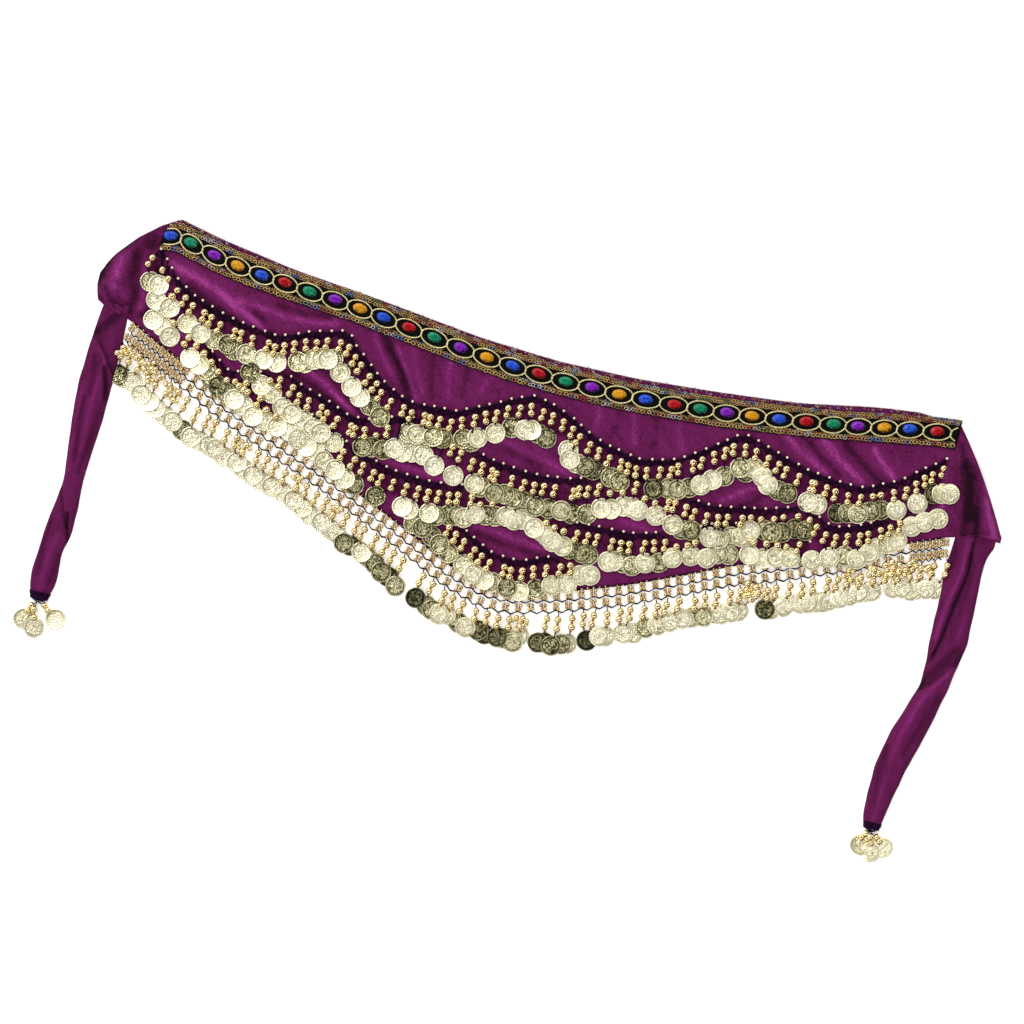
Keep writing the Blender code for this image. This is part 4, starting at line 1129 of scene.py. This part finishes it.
# %% Hem dangles
Clump = namedtuple("Clump", "x y wide deep count size")
TABLE_LEVEL = 0.4
HEM_COTTON = 1.1
HEM_COINS = [
    [
        (-405, -77, 12), (-399, -79, 45), (-390, -80, 80), (-378, -90, 88), (-368, -95, 90), (-360, -100, 92),
        (-350, -105, 92), (-341, -109, 85), (-329, -115, 28), (-320, -120, 80), (-310, -121, 90),
        (-300, -123, 90), (-293, -125, 85), (-282, -130, 84), (-269, -133, 92), (-260, -138, 80),
        (-250, -141, 86), (-240, -145, 90), (-229, -147, 88), (-217, -150, 80), (-205, -155, 90),
        (-194, -160, 60), (-184, -165, 88), (-172, -169, 90), (-161, -175, 90), (-155, -177, 84),
        (-145, -184, 30), (-138, -186, 12), (-126, -189, 70), (-118, -192, 50), (-110, -197, 30),
        (-102, -203, 30), (-94, -206, 14), (-84, -213, 50),
    ],
    [
        (-62, -220, 8), (-50, -225, 40), (-43, -228, 30), (-35, -230, 60), (-28, -229, 82), (-15, -234, 40),
        (-7, -236, 60), (7, -236, 14), (14, -238, 14), (26, -238, 20), (33, -238, 40), (43, -239, 50),
        (47, -231, 80),
    ],
    [
        (67, -233, 20), (74, -231, 20), (81, -233, 18), (91, -229, 40), (96, -227, 70), (114, -219, 0),
        (125, -212, 86), (131, -211, 80), (147, -203, 82), (157, -200, 80), (168, -192, 50), (179, -187, 60),
        (190, -180, 90), (200, -175, 86), (210, -171, 60), (221, -167, 55), (231, -161, 90), (238, -160, 92),
        (247, -156, 80), (254, -153, 86),
    ],
    [
        (279, -145, 18), (285, -143, 80), (296, -138, 80), (311, -131, 86), (319, -128, 78), (326, -125, 80),
        (333, -123, 70), (339, -121, 70), (348, -115, 86), (357, -111, 70), (365, -106, 86), (372, -103, 86),
        (378, -101, 90),
    ],
    [
        (398, -93, 86), (407, -91, 86), (415, -91, 70), (421, -88, 90), (430, -85, 95), (438, -84, 60),
    ],
]
HEM_SLIPS = [(-409, 3), (-380, 4), (-340, 1), (-200, 2), (-60, 2), (60, 1), (200, 3), (300, 4), (440, 2)]
HEM_BREAKS = [(-80, -66), (53, 63), (388, 392)]
CLUMPS = [
    Clump(-400, -54, 12, 7, 11, 0.85), Clump(-382, -62, 13, 8, 11, 0.8), Clump(-366, -72, 12, 8, 9, 0.7),
    Clump(-347, -83, 8, 8, 11, 0.62), Clump(-267, -115, 9, 8, 12, 0.6), Clump(-206, -133, 6, 5, 5, 0.7),
    Clump(-163, -152, 8, 6, 7, 0.75), Clump(46, -217, 9, 5, 10, 0.7), Clump(265, -130, 12, 9, 16, 0.95),
    Clump(355, -91, 9, 7, 9, 0.9), Clump(378, -82, 12, 6, 10, 0.9), Clump(396, -74, 14, 7, 13, 0.95),
    Clump(420, -66, 14, 6, 9, 0.95),
]
last_thread = [(x, along(NET_THREAD, x, 8) - NET_LOWER) for x in range(-409, 446, 6)]
hem_bead_places, hem_seed_places, hem_routes = [], [], []
hem_coin_list = [coin for stretch in HEM_COINS for coin in stretch]
for number, stretch in enumerate(HEM_COINS, 1):
    places, tones = lay_coins(stretch, lambda x, y: TABLE_LEVEL, 0.18, 0.1)
    made = copies(f"coins_of_hem_{number}", COIN, places, [gilt], tones)
    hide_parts(f"hem_coins_{number}")
for strand in strands(last_thread, HEM_SLIPS, 12.2, (6.2, 7.9)):
    if any(low < strand.seed.x < high for low, high in HEM_BREAKS):
        continue
    coin = nearest_coin(strand.bead_two + Vector((0, -13)), hem_coin_list)
    toward = coin - strand.bead_two
    shift = max(toward.length - (COIN_RADIUS + 4.5), 0) * 0.4
    bead_one = strand.bead_one + toward.normalized() * shift * 0.4
    bead_two = strand.bead_two + toward.normalized() * shift
    level = TABLE_LEVEL + BEAD / 2
    for bead in (bead_one, bead_two):
        if not near(bead, [coin], COIN_RADIUS - 2):
            hem_bead_places.append(at(*bead, level, any_turn(), 1.2, 0, random.uniform(0.9, 1.0)))
    hem_seed_places.append(at(*((bead_one + bead_two) / 2), level))
    hem_seed_places.append(at(*(bead_two + toward.normalized() * 4.6), TABLE_LEVEL + 3.2))
    top = coin - toward.normalized() * (COIN_RADIUS - 2.0)
    hem_routes.append([(*strand.seed, NET_LEVEL), (*bead_one, TABLE_LEVEL + 3.2), (*bead_two, TABLE_LEVEL + 3.2),
                       (*top, TABLE_LEVEL + 3.4)])
for clump in CLUMPS:
    for _ in range(clump.count):
        away, turn = math.sqrt(random.random()), random.uniform(0, 2 * math.pi)
        x = clump.x + away * clump.wide * math.cos(turn)
        y = clump.y + away * clump.deep * math.sin(turn)
        size = clump.size * random.uniform(0.85, 1.1)
        hem_bead_places.append(at(x, y, TABLE_LEVEL + BEAD / 2 * size + random.uniform(0.5, 3.0), size=size))
        if random.random() < 0.5:
            hem_routes.append([(x - 3, y + 2, 2.5), (x, y, 4.0), (x + 2.5, y - 1.5, 2.0)])
hem_beads = copies("round_beads_of_hem", ROUND_BEAD, hem_bead_places, [gold_film])
hem_seeds = copies("seed_beads_of_hem", SMALL_BEAD, hem_seed_places, [dark_gold])
hem_threads = threads("crochet_threads_of_hem", hem_routes, HEM_COTTON, crochet)

# %% [markdown]
# The ribbon is a bought trimming: a black woven band, a line of touching gold cord ovals, and a braid of many
# coloured metallic thread along both edges. The band is a grid along the waist, and its UV map holds millimetres
# along and across it.

# %% Ribbon band
RIBBON_WIDTH, RIBBON_THICK = 30.0, 0.9
RIBBON_LINE = [
    (-396, 67), (-388, 70), (-380, 70.5), (-367, 67.5), (-341, 61.5), (-316, 57), (-290, 54), (-240, 50),
    (-187, 46), (-135, 39.5), (-80, 32.5), (-25, 27.8), (30, 26), (85, 27), (141, 30.5), (194, 35.5),
    (246, 42.5), (300, 50.5), (350, 60), (402, 69.5), (424, 72),
]
SEWN_GAP = 0.6
GEM_LINE = 15.0


def ribbon_spot(x, across):
    """A place on the ribbon, across millimetres below its upper edge, and the ribbon's level there."""
    py = along(RIBBON_LINE, x, 6) + RIBBON_WIDTH / 2 - across
    return x, py, cloth_height(x, py) + WALL + SEWN_GAP + RIBBON_THICK


band_weave, tree, shader = new_material("black_woven_ribbon", Roughness=0.7, Specular_IOR_Level=0.06)
weave_place = add_node(tree, "ShaderNodeUVMap", uv_map="UVMap").outputs["UV"]
to_threads = {"Vector": weave_place, "Scale": (820.0, RIBBON_WIDTH, 1.0)}
threads_place = add_node(tree, "ShaderNodeMapping", to_threads).outputs["Vector"]
grit = grain(tree, threads_place, 0.9, 4.0)
across_band = add_node(tree, "ShaderNodeSeparateXYZ", {"Vector": threads_place}).outputs["Y"]
away = maths(tree, "ABSOLUTE", maths(tree, "SUBTRACT", across_band, GEM_LINE))
in_braid = add_node(tree, "ShaderNodeMapRange", {"Value": away, 1: 8.6, 2: 9.4, 3: 0.0, 4: 1.0})
black = ramp(tree, grit, [(0.35, "#030403"), (0.7, "#0F0E0A")])
netting = ramp(tree, grit, [(0.3, "#140A12"), (0.5, "#2C1A28"), (0.7, "#54383C")])
paint(tree, shader, add_node(
    tree, "ShaderNodeMixRGB",
    {"Fac": in_braid.outputs["Result"], "Color1": black.outputs["Color"], "Color2": netting.outputs["Color"]},
))
weave = add_node(tree, "ShaderNodeTexChecker", {"Vector": threads_place, "Scale": 1.6}).outputs["Fac"]
emboss(tree, shader, weave, 0.3, 0.15)


def turned_under(x):
    """How much of the ribbon's upper edge the left end's fold hides."""
    return max(-387.0 - x, 0.0) * 0.9


work = cloth_grid(220, 6)
for vert in work.verts:
    x = RIBBON_LEFT + vert.co.x * (RIBBON_RIGHT - RIBBON_LEFT)
    hidden = turned_under(x)
    vert.co = spot(*ribbon_spot(x, hidden + (1 - vert.co.y) * (RIBBON_WIDTH - hidden)))
thickened = bmesh.ops.extrude_face_region(work, geom=list(work.faces))
bmesh.ops.translate(
    work, verts=[one for one in thickened["geom"] if isinstance(one, bmesh.types.BMVert)],
    vec=(0, 0, -RIBBON_THICK * MM),
)
bmesh.ops.recalc_face_normals(work, faces=work.faces)
ribbon_band = finished("ribbon_band", work, band_weave)
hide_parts("gem_ribbon")

# %% [markdown]
# The ovals are a pale gold cord, laid round each stone so that they touch. The first oval is cut by the ribbon's left
# end, and at the right end the next one has only begun. A route that leaves the ribbon is cut off there, which gives
# both ends at once.

# %% Oval cords
GEM_PLACES = [
    -388, -367, -341, -316, -290, -266, -240, -213, -187, -162, -135, -108, -80, -52, -25, 2, 30, 57,
    85, 112, 141, 167, 194, 219, 246, 273, 300, 324, 350, 375, 402,
]
OVAL_SHORT = 16.5
CORD = 1.5

gold_cord = flecked_material(
    "pale_gold_cord", 650.0, 2.0, [(0.3, "#B3A066"), (0.5, "#E6DB9E"), (0.75, "#FBF6D0")], relief=(0.5, 0.2),
    Metallic=0.55, Roughness=0.42,
)
oval_routes = []
ovals = GEM_PLACES + [GEM_PLACES[-1] + 27.5]
for k, x in enumerate(ovals):
    before = x - ovals[k - 1] if k else 27.0
    after = ovals[k + 1] - x if k + 1 < len(ovals) else 27.0
    route = []
    for step in range(33):
        turn = 2 * math.pi * step / 32
        half = (after if math.cos(turn) > 0 else before) / 2 + 0.4
        ox, oy = x + half * math.cos(turn), GEM_LINE - OVAL_SHORT / 2 * math.sin(turn)
        if RIBBON_LEFT + 0.5 < ox < RIBBON_RIGHT - 0.5 and oy > turned_under(ox) + 0.8:
            px, py, pz = ribbon_spot(ox, oy)
            route.append((px, py, pz + 0.5))
        else:
            oval_routes.append(route)
            route = []
    oval_routes.append(route)
oval_cords = threads("oval_cords", [route for route in oval_routes if len(route) > 1], CORD, gold_cord, sides=1)

# %% [markdown]
# The braid is made of tiny curls of metallic thread in changing colours. One curl is made as a ring of tube and
# copied along four lines, two above the ovals and two below them. A run of curls shares a colour, as the thread
# changes only every few stitches.

# %% Braid curls
lurex, tree, shader = new_material("mixed_metallic_thread", Metallic=0.35, Roughness=0.35)
thread_tone = add_node(tree, "ShaderNodeAttribute", attribute_name="tone").outputs["Fac"]
dyes = [
    (0.0, "#E2C274"), (0.25, "#C87A48"), (0.40, "#E4E0D6"), (0.58, "#8094C4"),
    (0.70, "#DDA878"), (0.84, "#8C9C58"), (0.93, "#BE4A46"),
]
paint(tree, shader, ramp(tree, thread_tone, dyes, "CONSTANT"))
BraidLine = namedtuple("BraidLine", "start across pitch size")
BRAID_LINES = [
    BraidLine(9, 1.6, 2.9, 0.85), BraidLine(6, 4.4, 3.1, 0.95), BraidLine(2, 24.3, 2.6, 0.6), BraidLine(2, 27.0, 3.5, 1.15),
]


def curl_pattern():
    """A small flat curl of thread: a circle of three-sided tube, spun round and left open."""
    work = bmesh.new()
    tube = bmesh.ops.create_circle(work, cap_ends=False, segments=3, radius=0.42 * MM)
    bmesh.ops.rotate(work, verts=tube["verts"], matrix=Matrix.Rotation(math.pi / 2, 3, "X"))
    bmesh.ops.translate(work, verts=tube["verts"], vec=(1.45 * MM, 0, 0))
    bmesh.ops.spin(work, geom=work.verts[:] + work.edges[:], cent=(0, 0, 0), axis=(0, 0, 1),
                   angle=math.radians(330), steps=9)
    bmesh.ops.holes_fill(work, edges=work.edges)
    bmesh.ops.recalc_face_normals(work, faces=work.faces)
    return pattern_mesh("curl", work)


CURL = curl_pattern()
curl_places, curl_tones = [], []
for line in BRAID_LINES:
    x, tone, left_in_run = RIBBON_LEFT + line.start, 0.0, 0
    while x < RIBBON_RIGHT - 1.5:
        if left_in_run == 0:
            tone, left_in_run = random.choice((0.1, random.random(), random.random())), random.randint(1, 4)
        left_in_run -= 1
        px, py, pz = ribbon_spot(x, line.across + random.uniform(-0.5, 0.5))
        turn, tilt = random.uniform(0, 6.3), random.uniform(-0.3, 0.3)
        curl_places.append(at(px, py, pz + 0.4, turn, tilt, 0, line.size * random.uniform(0.85, 1.1)))
        curl_tones.append(min(max(tone + random.uniform(-0.08, 0.08), 0), 1))
        x += line.pitch * random.uniform(0.85, 1.1)
braid_curls = copies("braid_curls", CURL, curl_places, [lurex], curl_tones)

# %% [markdown]
# The waist edge is overlocked: a purple thread zigzags over the raw velvet, with flecks of the metallic thread
# caught in it. One zigzag route of thread with uneven stitches gives that fuzzy edge.

# %% Waist stitching
OVERLOCK_THREAD = 0.8
FLECK_SHARE = 0.4

purple_thread = flecked_material(
    "purple_overlock_thread", 380.0, 3.0, [(0.35, "#2E1230"), (0.55, "#5A2A5E"), (0.75, "#9A6A7E")],
    Roughness=0.8, Specular_IOR_Level=0.3,
)
flecks, fleck_tones, route = [], [], []
x, outside = RIBBON_LEFT + 4, True
while x < RIBBON_RIGHT:
    edge = waist(x)
    lift = cloth_height(x, edge) + WALL
    stitch = edge + (0.9 if outside else -2.8) + random.uniform(-0.5, 0.5)
    route.append((x, stitch, lift * (0.8 if outside else 1.0) + 0.6))
    if random.random() < FLECK_SHARE:
        fleck_y = edge + random.uniform(-3.4, 0.6)
        flecks.append(at(x, fleck_y, lift + 0.9, any_turn(), 0.4, 0, random.uniform(0.4, 0.8)))
        fleck_tones.append(random.random())
    outside = not outside
    x += random.uniform(0.9, 1.6)
overlock_stitches = threads("overlock_stitches", [route], OVERLOCK_THREAD, purple_thread)
braid_flecks = copies("braid_flecks", CURL, flecks, [lurex], fleck_tones)

# %% [markdown]
# The stones are moulded acrylic ovals with foil behind them. A stone starts as a fourteen-sided girdle, and is extruded
# up and then twice more with a smaller ring each time, which leaves two bands of facets. Each facet gets its own
# painted light: lighter where it faces up and towards the key light at the upper left, darker where it faces away, and
# changed at random as painted glints, because foil throws light from one facet and none from the next.

# %% Stones
GEM_LONG, GEM_SHORT, GEM_RISE = 14.8, 10.2, 3.0
STONE_COLOURS = {
    "blue": ("#0A1436", "#1C48C4", "#4E7CF0"),
    "green": ("#04261C", "#0C7D58", "#2CBE90"),
    "purple": ("#220632", "#7416A8", "#AE42E0"),
    "yellow": ("#5E360A", "#D0901A", "#FFC63C"),
    "red": ("#32040A", "#A80E1A", "#E63038"),
}
STONE_ORDER = ["blue"] + ["green", "purple", "yellow", "blue", "red"] * 6


def stone_pattern():
    work = bmesh.new()
    bmesh.ops.create_circle(work, cap_ends=True, segments=14, radius=0.5 * MM)
    lid = work.faces[:]
    for rise, shrink in ((0.25, 1.0), (0.42, 0.80), (0.33, 0.66)):
        grown = bmesh.ops.extrude_face_region(work, geom=lid)
        upper = [one for one in grown["geom"] if isinstance(one, bmesh.types.BMVert)]
        lid = [one for one in grown["geom"] if isinstance(one, bmesh.types.BMFace)]
        bmesh.ops.translate(work, verts=upper, vec=(0, 0, rise * MM))
        middle = sum((vert.co for vert in upper), Vector()) / len(upper)
        bmesh.ops.scale(work, verts=upper, vec=(shrink, shrink, 1), space=Matrix.Translation(-middle))
        if shrink < 1:
            bmesh.ops.rotate(work, verts=upper, cent=middle, matrix=Matrix.Rotation(math.pi / 14, 3, "Z"))
    bmesh.ops.triangulate(work, faces=[face for face in work.faces if len(face.verts) == 4])
    bmesh.ops.poke(work, faces=lid)
    bmesh.ops.scale(work, verts=work.verts, vec=(GEM_LONG, GEM_SHORT, GEM_RISE))
    bmesh.ops.recalc_face_normals(work, faces=work.faces)
    return pattern_mesh("stone", work)


STONE = stone_pattern()
for colour_name, (deep, mid, light) in STONE_COLOURS.items():
    acrylic, tree, shader = new_material(
        f"foiled_{colour_name}_acrylic", Roughness=0.16, Specular_IOR_Level=0.3, Coat_Weight=0.15, Coat_Roughness=0.04
    )
    facet_painted_light = add_node(tree, "ShaderNodeAttribute", attribute_name="facet_painted_light").outputs["Fac"]
    paint(tree, shader, ramp(tree, facet_painted_light, [(0.0, deep), (0.4, mid), (0.7, mid), (1.0, light)]))
    places = []
    for x, stone in zip(GEM_PLACES, STONE_ORDER):
        if stone == colour_name:
            px, py, pz = ribbon_spot(x, GEM_LINE - 0.6 + random.uniform(-0.5, 0.5))
            turn = math.atan(slope(RIBBON_LINE, x, 14)) + random.uniform(-0.12, 0.12)
            places.append(at(px, py, pz + 0.1, turn))
    stones = copies(f"{colour_name}_stones", STONE, places, [acrylic], smooth=False)
    facets = stones.data.attributes.new("facet_painted_light", "FLOAT", "FACE")
    tones = []
    for _ in places:
        for face in STONE.polygons:
            # Painted light: facets that face up and towards the key light at the upper left are lighter, and a random
            # share stands for painted glints from the foil.
            shine = 0.80 * face.normal.z + 0.30 * face.normal.y - 0.24 * face.normal.x
            tones.append(min(max(shine - 0.30 + random.uniform(-0.28, 0.34), 0.0), 1.0))
    facets.data.foreach_set("value", np.array(tones, np.float32))

# %% [markdown]
# Each tie ends in a knot bound with the dark thread. Three short strands of beads hang from it, each with a coin, and
# they lie in a heap.

# %% Tie pendants
Strand = namedtuple("Strand", "beads coin")
LEFT_STRANDS = [
    Strand([(-432, -322, 0), (-434, -328, 0)], (-436.5, -336.5, 0.3)),
    Strand([(-428, -325, 2), (-426, -333, 1)], (-424, -342.5, 1.8)),
    Strand([(-419, -319, 0), (-414.5, -323, 0)], (-405.5, -329.5, 0.3)),
]
RIGHT_STRANDS = [
    Strand([(432, -337, 0), (428.5, -342, 0)], (428.5, -349.5, 0.6)),
    Strand([(437, -339, 2), (439, -345, 1)], (440.6, -353.5, 2.0)),
    Strand([(443.5, -338, 0), (447, -341, 0)], (452, -346.2, 0.6)),
]


def pendants(side, node, knot_x, knot_y, width, turns, strands, edge_on):
    """A tie's knot of so many turns of thread, and its strands. The coin of the strand edge_on stands nearly on edge."""
    beads, coins, tones, routes = [], [], [], []
    for k, strand in enumerate(strands):
        stops = [(knot_x + random.uniform(-1, 1), knot_y - 7, 3.0)]
        for x, y, level in strand.beads:
            beads.append(at(x, y, 3.6 + level, any_turn(), 1.2, 0, random.uniform(0.88, 0.98)))
            stops.append((x, y, 3.6 + level))
        x, y, level = strand.coin
        if k == edge_on:
            coins.append(at(x, y, level + 4.0, 0.9, 0.1, 0.3))
        else:
            steep = random.uniform(-0.08, 0.08)
            coins.append(at(x, y, level + 2.2, any_turn(), 0.1, steep))
        tones.append(random.uniform(0.75, 1.0))
        away = (Vector((x, y)) - Vector(stops[-1][:2])).normalized()
        stops.append((x - away.x * 8, y - away.y * 8, 3.0 + level))
        routes.append(stops)
    for turn in range(turns + 4):
        pinch = 1 - 0.2 * max(turn - turns + 1, 0)
        y = knot_y + 3.0 - turn * 0.85
        half = width / 2 * (1 - 0.026 * turn) * pinch
        rise = (7.4 - 0.1 * turn) * pinch
        routes.append([
            (knot_x + half * math.cos(a), y + random.uniform(-0.3, 0.3), 0.4 + rise * max(math.sin(a), 0) ** 0.75)
            for a in np.linspace(0, math.pi, 11)
        ])
    made = copies(f"{side}_pendant_coins", COIN, coins, [gilt], tones)
    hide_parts(node)
    copies(f"{side}_pendant_beads", ROUND_BEAD, beads, [gold_film])
    threads(f"{side}_knot_threads", routes, HEM_COTTON, crochet)


pendants("left", "left_pendants", -427.0, -310.0, 21.5, 9, LEFT_STRANDS, None)
pendants("right", "right_pendants", 436.3, -328.0, 18.5, 8, RIGHT_STRANDS, 0)
